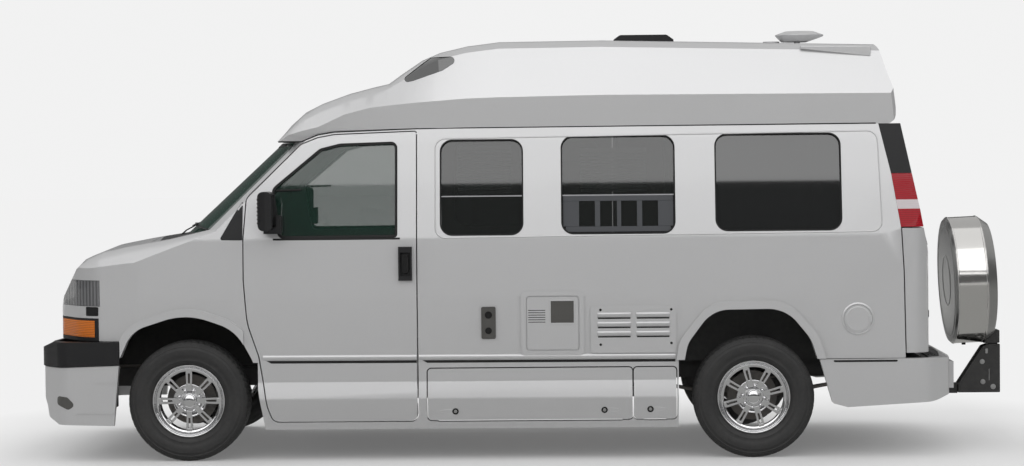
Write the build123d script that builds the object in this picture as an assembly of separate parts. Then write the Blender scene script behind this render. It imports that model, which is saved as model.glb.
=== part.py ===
from build123d import *
import math
import os
from functools import lru_cache

os.makedirs("parts", exist_ok=True)

# Camper van. Millimetres, Z up, the nose toward -X and the driver's side toward -Y.
# Every length along the van is first written as a station: the distance behind the front axle.
# keep() then moves each piece so that the origin is on the ground under the middle of the whole van.

# ---------------------------------------------------------------- driving dimensions
WHEELBASE = 3429
FRONT_OVERHANG = 1012
CARRIER_REACH = 1633                  # rear axle to the back of the spare wheel carrier
LENGTH = FRONT_OVERHANG + WHEELBASE + CARRIER_REACH
AXLE_X = FRONT_OVERHANG - LENGTH / 2  # x of the front axle

HUB_Z = 366
TYRE_R = 366
TYRE_W = 225
WHEEL_Y = 868                         # middle of each tyre from the centreline
RIM_R = 221
RIM_W = 178
BEAD_R = 203
SPOKES = 8
LUGS = 8
KINGPIN_Y = 742

WALL = 55                             # thickness of a body wall or a door
GAP = 7                               # gap round a door or a lid
GLASS = 6
FENDER = 36                           # thickness of the nose panels
NOSE_END = 346                        # the front doors begin here

SILL_Z = 600                          # foot of the steel body
SKIRT_Z = 190                         # foot of the moulded skirts
SEAM_Z = 2014                         # joint of the steel body and the roof cap
BELT_Z = 1345
ROOF_Z = 2557

FAR = 3000                            # larger than half of any piece
DEEP = 6000                           # larger than the whole van


def keep(name, shape):
    """Move a piece from stations to the van's own frame and write it."""
    solids = shape if isinstance(shape, (list, ShapeList)) else shape.solids()
    placed = [Pos(AXLE_X, 0, 0) * s for s in solids]
    export_step(placed[0] if len(placed) == 1 else Compound(children=placed), f"parts/{name}.step")


# ---------------------------------------------------------------- shape helpers
def outline(points, place):
    """A closed face. Each point is (a, b, corner radius); place turns (a, b) into a point in space."""
    corners = []
    count = len(points)
    for i, (a, b, radius) in enumerate(points):
        here = Vector(a, b)
        back = (Vector(*points[i - 1][:2]) - here).normalized()
        ahead = (Vector(*points[(i + 1) % count][:2]) - here).normalized()
        if radius == 0:
            corners.append((here, here, here))
            continue
        half = math.acos(max(-1, min(1, back.dot(ahead)))) / 2
        cut = radius / math.tan(half)
        middle = (back + ahead).normalized()
        centre = here + middle * (radius / math.sin(half))
        corners.append((here + back * cut, centre - middle * radius, here + ahead * cut))
    for i, (a, b, radius) in enumerate(points):
        room = (corners[(i + 1) % count][0] - corners[i][2]).dot(Vector(*points[(i + 1) % count][:2]) - Vector(a, b))
        assert room > -0.001, ("corner radii overlap after", (a, b, radius))
    edges = []
    for i, (start, mid, end) in enumerate(corners):
        following = corners[(i + 1) % count][0]
        if (end - start).length > 0.01:
            edges.append(ThreePointArc(place(start), place(mid), place(end)))
        if (following - end).length > 0.01:
            edges.append(Line(place(end), place(following)))
    return Face(Wire(edges))


def along_y(points, y0, y1):
    """Prism across the van from an outline of (station, z, radius)."""
    return extrude(outline(points, lambda p: (p.X, y0, p.Y)), y1 - y0, dir=(0, 1, 0))


def along_x(points, x0, x1):
    """Prism along the van from an outline of (y, z, radius)."""
    return extrude(outline(points, lambda p: (x0, p.X, p.Y)), x1 - x0, dir=(1, 0, 0))


def along_z(points, z0, z1):
    """Upright prism from an outline of (station, y, radius)."""
    return extrude(outline(points, lambda p: (p.X, p.Y, z0)), z1 - z0, dir=(0, 0, 1))


def block(x0, x1, y0, y1, z0, z1):
    return Pos((x0 + x1) / 2, (y0 + y1) / 2, (z0 + z1) / 2) * Box(x1 - x0, y1 - y0, z1 - z0)


def rod(x, y0, y1, z, radius):
    """Cylinder across the van."""
    return Pos(x, (y0 + y1) / 2, z) * Rot(90, 0, 0) * Cylinder(radius, y1 - y0)


def crowned(x0, z0, x1, z1, drop, half=950, sink=0.0):
    """Everything under a crowned surface: it runs from (x0, z0) to (x1, z1) on the centreline,
    and has fallen by drop, square to itself, at half to each side. sink lowers all of it."""
    run = Vector(x1 - x0, 0, z1 - z0).normalized()
    up = Vector(-run.Z, 0, run.X)
    wide = 1300
    low = drop * (wide / half) ** 2
    start = Vector(x0, 0, z0) - up * sink - run * FAR
    across = Vector(0, wide, 0)
    left = start - across - up * low
    right = start + across - up * low
    edges = [ThreePointArc(left, start, right),
             Line(right, right - up * DEEP),
             Line(right - up * DEEP, left - up * DEEP),
             Line(left - up * DEEP, left)]
    return extrude(Face(Wire(edges)), 3 * FAR, dir=tuple(run))


def mirrored(points):
    """Half an outline, of (a, b, radius) with a on the +a side, closed by its own mirror image."""
    return points + [(-a, b, r) for a, b, r in reversed(points)]


# ---------------------------------------------------------------- outer form of the body
# half width of the body at each height: (half width, z, corner radius)
SIDE = [(965, SKIRT_Z, 0), (1018, 373, 25), (997, 480, 25), (1001, 600, 40), (1004, 700, 200),
        (1010, 985, 300), (996, BELT_Z, 160), (899, 1930, 400), (884, SEAM_Z, 0)]


def body_section(inset):
    points = [(w - inset, z, r) for w, z, r in SIDE]
    return along_x(mirrored(points), -FAR, 2 * FAR)


# plan of the steel body: nose and tail are shallow bows with round corners, the sides run straight back
def body_plan(inset):
    half = 1016 - inset
    points = [(-890 + inset, 0.1, 0), (-832 + inset, 640, 240), (-640 + inset, 930 - inset, 330),
              (-250, half, 500), (3600, half, 1500), (4488 - inset, half - 30, 120), (4512 - inset, 420, 6000),
              (4512 - inset, 0.1, 0)]
    return along_z(points + [(x, -y, r) for x, y, r in reversed(points)], 0, FAR)


def windscreen_plane(sink):
    return crowned(-118, 1367, 509, 1945, 172, sink=sink)


def tail_plane(sink):
    """The body lies ahead of the tail, which is nearly upright and leans forward above the belt."""
    low = [(-FAR, 0, 0), (4515 - sink, 0, 0), (4515 - sink, 1130, 400), (4452 - sink, 1400, 500),
           (4330 - sink, 2000, 0), (4310 - sink, 2100, 0), (-FAR, 2100, 0)]
    return along_y(low, -FAR, FAR)


@lru_cache
def cabin_form(inset):
    """Cab and cabin: full height behind the dashboard, and only above the cowl ahead of it."""
    behind = block(NOSE_END, 2 * FAR, -FAR, FAR, 0, FAR)
    above = block(-260, 400, -FAR, FAR, 1322, FAR)
    form = (body_section(inset) & body_plan(inset)) & (behind + above)
    return (form & windscreen_plane(inset)) & tail_plane(inset)


def ruled(rows, profile):
    """Straight-ruled loft along the van through one closed outline for each row of a table."""
    return Solid.make_loft([Wire(profile(*row)) for row in rows], ruled=True)


# top of the bonnet and fenders, one row for each station: height on the centreline, half width and drop where
# the shoulder starts, and drop where it has turned down into the side
BONNET = [(-920, 1096, 620, 30, 300), (-800, 1172, 640, 30, 290), (-690, 1238, 660, 28, 270),
          (-540, 1296, 690, 26, 240), (-360, 1330, 740, 24, 190), (-118, 1367, 800, 22, 120),
          (120, 1420, 860, 20, 80), (420, 1500, 880, 20, 60)]
SHOULDER_Y = 1030                     # just outside the body's side


def bonnet_form(inset):
    def profile(x, top, width, drop, fall):
        crest = top - inset
        w0, w1 = width - inset, SHOULDER_Y - inset
        z0, z1 = crest - drop, crest - fall
        turn = (w0 + (w1 - w0) * 0.72, z0 + (z1 - z0) * 0.32)
        return [Line((x, -w1, 100), (x, -w1, z1)),
                ThreePointArc((x, -w1, z1), (x, -turn[0], turn[1]), (x, -w0, z0)),
                ThreePointArc((x, -w0, z0), (x, 0, crest), (x, w0, z0)),
                ThreePointArc((x, w0, z0), (x, turn[0], turn[1]), (x, w1, z1)),
                Line((x, w1, z1), (x, w1, 100)),
                Line((x, w1, 100), (x, -w1, 100))]
    return ruled(BONNET, profile)


# the nose leans back more and more above the bumper. Each row is one bowed facet along the centreline:
# (lower station, z, upper station, z, how far it falls back NOSE_BOW from the middle)
NOSE_FACETS = [(-883, 904, -862, 1009, 50), (-859, 1019, -772, 1200, 50), (-765, 1177, -717, 1225, 32)]
NOSE_BOW = 640
NOSE_FOOT = 300


@lru_cache
def nose_form(inset):
    form = body_section(inset) & body_plan(inset) & block(-FAR, 418, -FAR, FAR, NOSE_FOOT, FAR)
    form &= bonnet_form(inset)
    for x0, z0, x1, z1, drop in NOSE_FACETS:
        form &= crowned(x0, z0, x1, z1, drop, half=NOSE_BOW, sink=inset)
    return form


# ---------------------------------------------------------------- openings in the body
# wheel openings as seen from the side, and the same grown by a lip
def front_arch(grow=0.0):
    return [(-455 - grow, 0, 0), (-412 - grow, 620, 120), (-330 - grow * 0.7, 800 + grow * 0.7, 190),
            (0, 905 + grow, 420), (300 + grow * 0.6, 800 + grow * 0.8, 260), (405 + grow, 600, 200),
            (475 + grow, 150, 0), (475 + grow, 0, 0)]


def rear_arch(grow=0.0):
    return [(2970 - grow, 0, 0), (2975 - grow, 420, 200), (3030 - grow, 700 + grow * 0.4, 170),
            (3180 - grow * 0.3, 900 + grow, 200), (3620 + grow * 0.3, 905 + grow, 230),
            (3770 + grow, 720 + grow * 0.4, 200), (3905 + grow, 300, 0), (3960 + grow, 0, 0)]


FRONT_DOOR = [(520, 240, 45), (489, 330, 200), (440, 640, 260), (372, 840, 400), (352, 1100, 300),
              (352, 1345, 200), (371, 1600, 60), (700, 1917, 60), (800, 1956, 60), (900, 1974, 100),
              (1397, 1990, 12), (1397, 240, 45)]
FRONT_DOOR_WINDOW = [(560, 1350, 40), (518, 1650, 60), (812, 1893, 60), (935, 1923, 120),
                     (1285, 1932, 40), (1285, 1352, 20)]

# fixed and hinged windows behind the cab: (first station, last station, foot, head)
WINDOW_R = 75
WINDOWS_LEFT = [(1541, 2047, 1358, 1940), (2274, 2964, 1360, 1957), (3203, 3966, 1370, 1960)]
WINDOWS_RIGHT = [(3203, 3966, 1370, 1960)]
FRONT_LEAF_WINDOW = (1541, 2047, 1358, 1940)
REAR_LEAF_WINDOW = (2225, 2520, 1358, 1940)

FRONT_LEAF = (1450, 2106)
REAR_LEAF = (2116, 2610)
LEAF_FOOT = 625
LEAF_HEAD = 1985


def pane(x0, x1, z0, z1, grow=0.0, radius=WINDOW_R):
    """Outline of a window with round corners."""
    return [(x0 - grow, z0 - grow, radius + grow), (x1 + grow, z0 - grow, radius + grow),
            (x1 + grow, z1 + grow, radius + grow), (x0 - grow, z1 + grow, radius + grow)]


def panel(points, y0, y1, gap=0.0):
    """Prism across the van whose outline is moved out by gap."""
    prism = along_y(points, y0, y1)
    if gap == 0:
        return prism
    face = outline(points, lambda p: (p.X, y0, p.Y))
    bigger = offset(face, gap)
    return extrude(bigger, y1 - y0, dir=(0, 1, 0))


LEFT = (-1300, -600)
RIGHT = (600, 1300)


# ---------------------------------------------------------------- body panels
COWL_FRONT = -285

# roof cap above, steel body below: (station, z)
SEAM = [(-FAR, 1936), (700, 1936), (800, 1976), (900, 1992), (1400, 2008), (2 * FAR, SEAM_Z)]

# rear corner of the side wall, from the roof to the foot: (station, z)
LAMP_EDGE = [(4194, 2014), (4264, 1710), (4315, 1388), (4330, 1120), (4340, 600)]
LAMP_Z = (1388, 1710)
LAMP_Y = 770                          # inner edge of the tail lamps

WINDSCREEN = [(-880, 1347, 70), (880, 1347, 70), (796, 1930, 80), (-796, 1930, 80)]
BONNET_PLAN = [(-1100, 0.1, 0), (-1100, 690, 0), (-800, 700, 60), (COWL_FRONT + 30, 748, 30), (COWL_FRONT, 0.1, 0)]


def under_seam():
    points = [(x, z, 0) for x, z in SEAM]
    return along_y(points + [(2 * FAR, 0, 0), (-FAR, 0, 0)], -FAR, FAR)


def over_seam():
    points = [(x, z, 0) for x, z in SEAM]
    return along_y(points + [(2 * FAR, FAR, 0), (-FAR, FAR, 0)], -FAR, FAR)


def ahead_of_lamps(gap=0.0):
    points = [(x - gap, z, 0) for x, z in LAMP_EDGE]
    return along_y([(-FAR, FAR, 0), (LAMP_EDGE[0][0] - gap, FAR, 0)] + points
                   + [(LAMP_EDGE[-1][0] - gap, 0, 0), (-FAR, 0, 0)], -FAR, FAR)


CABIN = cabin_form(0)
CABIN_WALL = CABIN - cabin_form(WALL)
NOSE = nose_form(0)
NOSE_WALL = NOSE - nose_form(FENDER)


def half(shape, side):
    """The part of a shape on one side: -1 is the driver's side."""
    return shape & block(-FAR, 2 * FAR, min(0, side * FAR), max(0, side * FAR), -10, FAR)


def body_side(side):
    wall = half(CABIN_WALL, side) & under_seam() & ahead_of_lamps()
    wall -= block(-FAR, 2 * FAR, -FAR, FAR, 0, SILL_Z)
    wall -= block(4200, 2 * FAR, -LAMP_Y, LAMP_Y, 0, FAR)
    wall -= along_x(WINDSCREEN, -FAR, 900)
    reach = LEFT if side < 0 else RIGHT
    wall -= panel(FRONT_DOOR, *reach, gap=GAP)
    wall -= along_y(rear_arch(), *reach)
    wall += flare(rear_arch, side)
    windows = WINDOWS_LEFT if side < 0 else WINDOWS_RIGHT
    for x0, x1, z0, z1 in windows:
        wall -= along_y(pane(x0, x1, z0, z1), *reach)
    if side > 0:
        wall -= block(FRONT_LEAF[0] - GAP, REAR_LEAF[1] + GAP, *RIGHT, LEAF_FOOT - GAP, LEAF_HEAD + GAP)
    return biggest(wall)


def biggest(shape):
    return max(shape.solids(), key=lambda s: s.volume)


def flare(arch, side):
    """Raised lip round a wheel opening."""
    y0, y1 = (-1026, -975) if side < 0 else (975, 1026)
    lip = along_y(arch(48), y0, y1) - along_y(arch(), y0 - 1, y1 + 1)
    return lip & block(-FAR, 2 * FAR, -FAR, FAR, SILL_Z, FAR)


def nose_shell():
    shell = NOSE_WALL & block(-FAR, NOSE_END, -FAR, FAR, 735, FAR)
    shell += NOSE_WALL & block(-405, NOSE_END, -FAR, FAR, SILL_Z, 736)
    shell -= CABIN
    shell += CABIN_WALL & block(NOSE_END - 1, 520, -FAR, FAR, SILL_Z, 1120)
    for reach in (LEFT, RIGHT):
        shell -= panel(FRONT_DOOR, *reach, gap=GAP)
        shell -= along_y(front_arch(), *reach)
    shell -= bonnet_prism(GAP)
    shell -= face_openings(2)
    shell -= cowl_prism()
    for side in (-1, 1):
        lip = flare(front_arch, side) & (block(-FAR, NOSE_END, -FAR, FAR, 735, FAR)
                                         + block(-405, NOSE_END, -FAR, FAR, SILL_Z, 736))
        shell += lip
    return biggest(shell)


def bonnet_prism(gap=0.0):
    points = [(x + (gap if x > COWL_FRONT - 1 else 0), y + (gap if y > 1 else 0), r)
              for x, y, r in BONNET_PLAN]
    return along_z(points + [(x, -y, r) for x, y, r in reversed(points)], 1085, FAR)


def cowl_prism():
    points = [(COWL_FRONT + 8, 0.1, 0), (-190, 812, 20), (130, 868, 20), (130, 0.1, 0)]
    return along_z(points + [(x, -y, r) for x, y, r in reversed(points)], 1150, FAR)


# openings in the nose: (inner y, outer y, foot, head, rearmost station)
HEADLAMP = (575, 1000, 948, 1103, -537)
SIGNAL = (575, 1000, 735, 872, -545)
GRILLE_Y = 570
GRILLE_Z = (735, 1078)
GRILLE_BAR = (884, 944)               # body coloured bar across the grille


def opening(size, side, grow=0.0):
    y0, y1, z0, z1, x1 = size
    low, high = sorted((side * (y0 - grow), side * y1))
    return block(-FAR, x1 + grow, low, high, z0 - grow, z1 + grow)


def face_openings(grow):
    tool = block(-FAR, -700, -GRILLE_Y, GRILLE_Y, GRILLE_Z[0] - 10, GRILLE_BAR[0])
    tool += block(-FAR, -700, -GRILLE_Y, GRILLE_Y, GRILLE_BAR[1], GRILLE_Z[1])
    for side in (-1, 1):
        tool += opening(HEADLAMP, side, grow)
        tool += opening(SIGNAL, side, grow)
    return tool


def headlamps():
    lamps = []
    for side in (-1, 1):
        lamps += [biggest(NOSE_WALL & opening(HEADLAMP, side))]
    return lamps


def turn_signals():
    lamps = []
    for side in (-1, 1):
        y0, y1, z0, z1, x1 = SIGNAL
        lens = opening((y0 + 22, y1, z0 + 24, z1 - 12, x1 - 26), side)
        lamps += [biggest((NOSE - nose_form(20)) & lens)]
    return lamps


def grille():
    """Black bars between the lamps, and the black bezels round the turn signals."""
    depth = nose_form(10) - nose_form(48)
    bars = None
    for z in range(750, 1078, 33):
        if GRILLE_BAR[0] - 16 < z < GRILLE_BAR[1] + 4:
            continue
        bar = block(-FAR, -700, -GRILLE_Y + 3, GRILLE_Y - 3, z, z + 12)
        bars = bar if bars is None else bars + bar
    for y in (-GRILLE_Y + 3, -190, 178, GRILLE_Y - 15):
        for z0, z1 in ((GRILLE_Z[0], GRILLE_BAR[0] - 2), (GRILLE_BAR[1] + 2, GRILLE_Z[1] - 3)):
            bars += block(-FAR, -700, y, y + 12, z0, z1)
    pieces = (depth & bars).solids()
    for side in (-1, 1):
        y0, y1, z0, z1, x1 = SIGNAL
        lens = opening((y0 + 20, y1, z0 + 22, z1 - 10, x1 - 24), side)
        bezel = (NOSE_WALL & opening(SIGNAL, side)) - (lens - nose_form(22))
        pieces += [biggest(bezel)]
    return pieces


def bonnet():
    return biggest((NOSE_WALL & bonnet_prism()) - face_openings(3))


def cowl():
    """Black panel under the windscreen with two wipers lying on it."""
    panel_part = (NOSE_WALL & cowl_prism()) - CABIN
    return biggest(panel_part)


def windscreen():
    glass = windscreen_plane(4) - windscreen_plane(4 + GLASS)
    edge = [(y * 0.995, z + (3 if z < 1500 else -3), r) for y, z, r in WINDSCREEN]
    return biggest(glass & along_x(edge, -FAR, 900))


def bevel(x, side, toward):
    """Wedge that takes the inner edge off a door's free end, so that it swings clear of its neighbour.
    x is the free end and toward is +1 if the door lies ahead of it, -1 if behind."""
    run = 14 * toward
    wedge = None
    for (w0, z0), (w1, z1) in (((1018, 0), (1011, 985)), ((1011, 985), (996, BELT_Z)), ((996, BELT_Z), (884, SEAM_Z))):
        corners = [(x + 2 * toward, w0 + 1), (x + 2 * toward, w0 - WALL - 6), (x - run, w0 - WALL - 6)]
        edges = [Line((*a, z0), (*b, z0)) for a, b in zip(corners, corners[1:] + corners[:1])]
        rise = Vector(0, w1 - w0, z1 - z0)
        piece = extrude(Face(Wire(edges)), rise.length, dir=tuple(rise.normalized()))
        wedge = piece if wedge is None else wedge + piece
    return wedge if side > 0 else mirror(wedge, Plane.XZ)


def cabin_door(side):
    reach = LEFT if side < 0 else RIGHT
    door = half(CABIN_WALL, side) & panel(FRONT_DOOR, *reach)
    door -= bevel(FRONT_DOOR[-1][0], side, 1)
    return biggest(door - panel(FRONT_DOOR_WINDOW, *reach))


def glass_in(outline_points, side):
    """A pane set 18 mm inside the outer face of a wall."""
    sheet = cabin_form(18) - cabin_form(18 + GLASS)
    return biggest(half(sheet, side) & along_y(outline_points, *(LEFT if side < 0 else RIGHT)))


def side_leaf(x0, x1, window, free):
    """One of the two side doors; free is +1 if its rear edge is the free one, -1 if its front edge is."""
    y0, y1 = RIGHT
    leaf = half(CABIN_WALL, 1) & block(x0, x1, y0, y1, LEAF_FOOT, LEAF_HEAD)
    leaf -= bevel(x1 if free > 0 else x0, 1, free)
    return biggest(leaf - along_y(pane(*window), y0, y1))


def rear_doors():
    wall = CABIN_WALL & under_seam()
    low = wall & block(4300, 2 * FAR, -FAR, FAR, SILL_Z + 30, LAMP_Z[0] - GAP) - ahead_of_lamps(-GAP)
    high = wall & block(4300, 2 * FAR, -LAMP_Y + GAP, LAMP_Y - GAP, LAMP_Z[0] - GAP - 1, 1985)
    doors = low + high
    doors -= block(4000, 2 * FAR, -GAP / 2, GAP / 2, 0, FAR)
    for side in (-1, 1):
        low_y, high_y = sorted((side * 110, side * 650))
        doors -= along_x([(low_y, 1400, 60), (high_y, 1400, 60), (high_y, 1880, 60), (low_y, 1880, 60)],
                         4000, 2 * FAR)
    return sorted(doors.solids(), key=lambda s: -s.volume)[:2]


def rear_glass():
    sheet = cabin_form(18) - cabin_form(18 + GLASS)
    panes = []
    for side in (-1, 1):
        low_y, high_y = sorted((side * 110, side * 650))
        tool = along_x([(low_y, 1400, 60), (high_y, 1400, 60), (high_y, 1880, 60), (low_y, 1880, 60)],
                       4200, 2 * FAR)
        panes += [biggest(sheet & tool)]
    return panes


def corner(z0, z1, side):
    """Piece of the rear corner of the body between two heights."""
    low_y, high_y = sorted((side * LAMP_Y, side * FAR))
    piece = (CABIN_WALL & under_seam()) & block(4100, 2 * FAR, low_y, high_y, z0, z1)
    return biggest(piece - ahead_of_lamps(-1))


# ---------------------------------------------------------------- roof cap
# one row for each station: height on the centreline, half width and height of the crease, half width and
# height where the shoulder starts
CAP = [(540, 1958, 800, 1925, 770, 1938), (613, 2054, 850, 1976, 800, 2000), (700, 2136, 874, 2001, 805, 2062),
       (801, 2188, 888, 2024, 805, 2108), (966, 2244, 897, 2099, 800, 2178), (1119, 2282, 902, 2137, 795, 2222),
       (1215, 2302, 904, 2148, 790, 2248), (1300, 2368, 906, 2156, 780, 2296), (1420, 2448, 907, 2167, 770, 2378),
       (1533, 2493, 908, 2175, 772, 2430), (1700, 2531, 908, 2187, 776, 2468), (1900, 2555, 908, 2193, 780, 2492),
       (2528, 2559, 908, 2201, 780, 2496), (4360, 2512, 905, 2195, 780, 2452)]
CAP_FOOT = 1880
CAP_LEAN = 36                         # how much narrower the cap is at its foot than at its crease
CAP_PLAN = [(300, 930, 0), (4306, 930, 110), (4322, 600, 400), (4326, 0.1, 0)]
CAP_TAIL = [(4195, 2540), (4240, 2370), (4286, 2225), (4304, 2110), (4304, 2035), (4238, 2000)]
CAP_WALL = 40


@lru_cache
def cap_form(inset):
    def profile(x, top, crease_w, crease_z, shoulder_w, shoulder_z):
        side, bend, shoulder = crease_w - CAP_LEAN - inset, crease_w - inset, shoulder_w - inset
        crest, edge = top - inset, shoulder_z - inset
        turn_w = shoulder * 0.62
        turn_z = edge + (crest - edge) * 0.78
        mid = (shoulder * 0.87, edge + (crest - edge) * 0.5)
        station = x + (inset if x < 600 else 0)
        right = [(side, CAP_FOOT), (bend, crease_z), (shoulder, edge), mid, (turn_w, turn_z)]
        p = [(station, y, z) for y, z in right]
        q = [(station, -y, z) for y, z in right]
        return [Line(p[0], p[1]), Line(p[1], p[2]), ThreePointArc(p[2], p[3], p[4]),
                ThreePointArc(p[4], (station, 0, crest), q[4]),
                ThreePointArc(q[4], q[3], q[2]), Line(q[2], q[1]), Line(q[1], q[0]), Line(q[0], p[0])]
    shell = ruled(CAP, profile)
    plan = [(x - (inset if x > 2000 else 0), y, r) for x, y, r in CAP_PLAN]
    shell &= along_z(plan + [(x, -y, r) for x, y, r in reversed(plan)], 0, FAR)
    tail = [(x - inset, z, 60) for x, z in CAP_TAIL]
    tail[0] = (tail[0][0], tail[0][1], 0)
    tail[-1] = (tail[-1][0], tail[-1][1], 0)
    return shell & along_y([(-FAR, FAR, 0), (tail[0][0], FAR, 0)] + tail
                           + [(tail[-1][0], 0, 0), (-FAR, 0, 0)], -FAR, FAR)


# windows in the raised front of the cap: (station, z, corner radius)
CAP_WINDOW = [(1270, 2280, 20), (1478, 2446, 30), (1690, 2446, 25), (1560, 2362, 60), (1378, 2300, 60)]


def cap_window(side, gap=0.0):
    low, high = sorted((side * 330, side * 1000))
    return panel(CAP_WINDOW, low, high, gap)


def cap_windows():
    """The two tinted panes in the raised front of the cap."""
    panes = []
    for side in (-1, 1):
        pane_block = cap_window(side) & cap_form(2)
        panes += [biggest(pane_block - cap_form(2 + GLASS))]
    return panes


def roof_cap():
    cap = (cap_form(0) - cap_form(CAP_WALL)) & over_seam()
    for side in (-1, 1):
        cap -= cap_window(side, 1)
    return biggest(cap)


# ---------------------------------------------------------------- skirts and storage lids
LIDS = [("storage_lid_long", 1459, 2695), ("storage_lid_small", 2704, 2988)]   # (name, first, last station)
LID_Z = (243, 556)
LID_WALL = 25
SKIRT_FRONT = 430
SKIRT_REAR = 2975
GROOVE_Z = 604                        # groove over the skirts
LID_SHEET = cabin_form(0) - cabin_form(LID_WALL)


def lid_prism(x0, x1, side, gap=0.0):
    reach = LEFT if side < 0 else RIGHT
    return along_y(pane(x0, min(x1, 2960), LID_Z[0], LID_Z[1], gap, 22), *reach)


def skirt(side):
    """Moulded sill: from the front wheel to the rear wheel, under the door and behind it."""
    reach = LEFT if side < 0 else RIGHT
    lower = half(CABIN_WALL, side) & block(SKIRT_FRONT, SKIRT_REAR, -FAR, FAR, SKIRT_Z, SILL_Z - 1)
    front = half(NOSE_WALL, side) & block(380, SKIRT_FRONT + 10, -FAR, FAR, 300, SILL_Z - 1)
    lower += front
    lower -= panel(FRONT_DOOR, *reach, gap=GAP)
    lower -= along_y(front_arch(), *reach)
    lower -= along_y(rear_arch(), *reach)
    if side < 0:
        for _, x0, x1 in LIDS:
            lower -= lid_prism(x0, x1, side, GAP) + block(x0 + 60, min(x1, 2960) - 60, -1100, -900, LID_Z[0] - 11, 400)
    else:
        lower -= block(FRONT_LEAF[0] + 60, REAR_LEAF[1] - 60, 950, 1100, 400, SILL_Z)
    return biggest(lower)


def storage_lid(x0, x1):
    return biggest(half(LID_SHEET, -1) & lid_prism(x0, x1, -1))


# ---------------------------------------------------------------- bumpers
def bumper_plan(inset):
    points = [(-FRONT_OVERHANG + inset, 0.1, 0), (-935 + inset, 740, 320), (-780 + inset * 0.5, 965 - inset, 120),
              (-400, 1012 - inset, 0), (200, 1012 - inset, 0), (200, 0.1, 0)]
    return along_z(points + [(x, -y, r) for x, y, r in reversed(points)], 0, FAR)


BUMPER = [(-1100, 572, 0), (-1100, 664, 0), (-960, 676, 12), (-840, 728, 30), (-412, 732, 0), (-412, 592, 0),
          (-880, 574, 0)]
AIR_DAM = [(-1060, 568, 0), (-1010, 480, 80), (-940, 400, 40), (-900, 335, 25), (-884, 262, 30), (-800, 226, 30),
           (-452, 222, 0), (-416, 588, 0), (-880, 570, 0)]
AIR_DAM_WALL = 45


def front_bumper():
    bar = (bumper_plan(0) - bumper_plan(75)) & along_y(BUMPER, -FAR, FAR)
    return biggest(bar - nose_form(0))


def air_dam():
    apron = bumper_plan(8) & along_y(AIR_DAM, -FAR, FAR)
    inner = [(x + AIR_DAM_WALL, z + (-9 if z < 230 else 9 if z > 560 else 0), r) for x, z, r in AIR_DAM]
    return biggest(apron - (bumper_plan(8 + AIR_DAM_WALL) & along_y(inner, -FAR, FAR)))


REAR_BUMPER = [(3822, 596, 0), (4520, 598, 0), (4620, 588, 60), (4700, 560, 40), (4690, 375, 30),
               (4500, 335, 200), (3990, 306, 30), (3900, 330, 20)]
BUMPER_WALL = 60
TOW_NOTCH = (4600, 5000, -70, 70, 280, 420)      # room for the receiver tube

# flat pad for the number plate, on the driver's side of the tow bar
PLATE_X = 4690
PLATE_PAD = (4632, PLATE_X, -570, -250, 376, 540)
PLATE_MID = (-410, 458)
PLATE_PITCH = (178, 121)
PLATE_HOLE_R = 3.3


def rear_plan(inset):
    points = [(4688 - inset, 0.1, 0), (4676 - inset, 420, 1500), (4628 - inset, 800, 200),
              (4510, 1006 - inset, 150), (3700, 1014 - inset, 0)]
    return along_z(points + [(x, -y, r) for x, y, r in reversed(points)], 0, FAR)


def rear_bumper():
    wrap = (rear_plan(0) - rear_plan(BUMPER_WALL)) & along_y(REAR_BUMPER, -FAR, FAR)
    wrap -= block(*TOW_NOTCH)
    wrap += block(*PLATE_PAD)
    for y in (PLATE_MID[0] - PLATE_PITCH[0] / 2, PLATE_MID[0] + PLATE_PITCH[0] / 2):
        for z in (PLATE_MID[1] - PLATE_PITCH[1] / 2, PLATE_MID[1] + PLATE_PITCH[1] / 2):
            wrap -= Pos(PLATE_X, y, z) * Rot(0, 90, 0) * Cylinder(PLATE_HOLE_R, 200)
    for reach in (LEFT, RIGHT):
        wrap -= along_y(rear_arch(), *reach)
    return biggest(wrap)


# ---------------------------------------------------------------- glass and fittings
def cabin_glass():
    panes = []
    for side, windows in ((-1, WINDOWS_LEFT), (1, WINDOWS_RIGHT)):
        for size in windows:
            panes += [glass_in(pane(*size, grow=-0.5), side)]
    return panes


def door_glass(side):
    return glass_in(FRONT_DOOR_WINDOW, side)


MIRROR = (456, 552, 1030, 1190, 1373, 1637)      # first, last station, inner, outer y, foot, head


def door_fittings(side):
    """Mirror on its arm and the pull handle, both standing on the door's skin."""
    x0, x1, y0, y1, z0, z1 = MIRROR
    head = along_z([(x0, y0, 20), (x0, y1 - 40, 40), (x0 + 50, y1, 30), (x1, y1, 12), (x1, y0, 12)], z0 + 30, z1)
    head &= along_y(pane(x0, x1, z0 + 30, z1, 0, 38), y0 - 1, y1 + 1)
    arm = block(x0 + 30, x1 + 40, 900, y0 + 60, z0 + 10, z0 + 120)
    reach = (head + arm) - block(x1 - 14, x1 + 10, y0 + 14, y1 - 14, z0 + 50, z1 - 20)
    handle = block(1290, 1372, 985, 1030, 1092, 1296)
    grip = block(1300, 1362, 1008, 1031, 1120, 1262)
    fittings = [biggest(piece - cabin_form(0)) for piece in (reach, handle - grip)]
    return fittings if side > 0 else [mirror(piece, Plane.XZ) for piece in fittings]


def on_side(x0, x1, z0, z1, proud, radius=14, seat=0):
    """A thin plate on the driver's side wall."""
    skin = half(cabin_form(-proud) - cabin_form(seat), -1)
    return biggest(skin & along_y(pane(x0, x1, z0, z1, 0, radius), *LEFT))


SERVICE_FRAME = (2026, 2407, 634, 1019)
SERVICE_DOOR = (2064, 2372, 668, 986)
INLET = (1787, 1874, 735, 929)
VENT = (2446, 2962, 645, 928)
FUEL = (4054, 838, 82)


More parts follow.
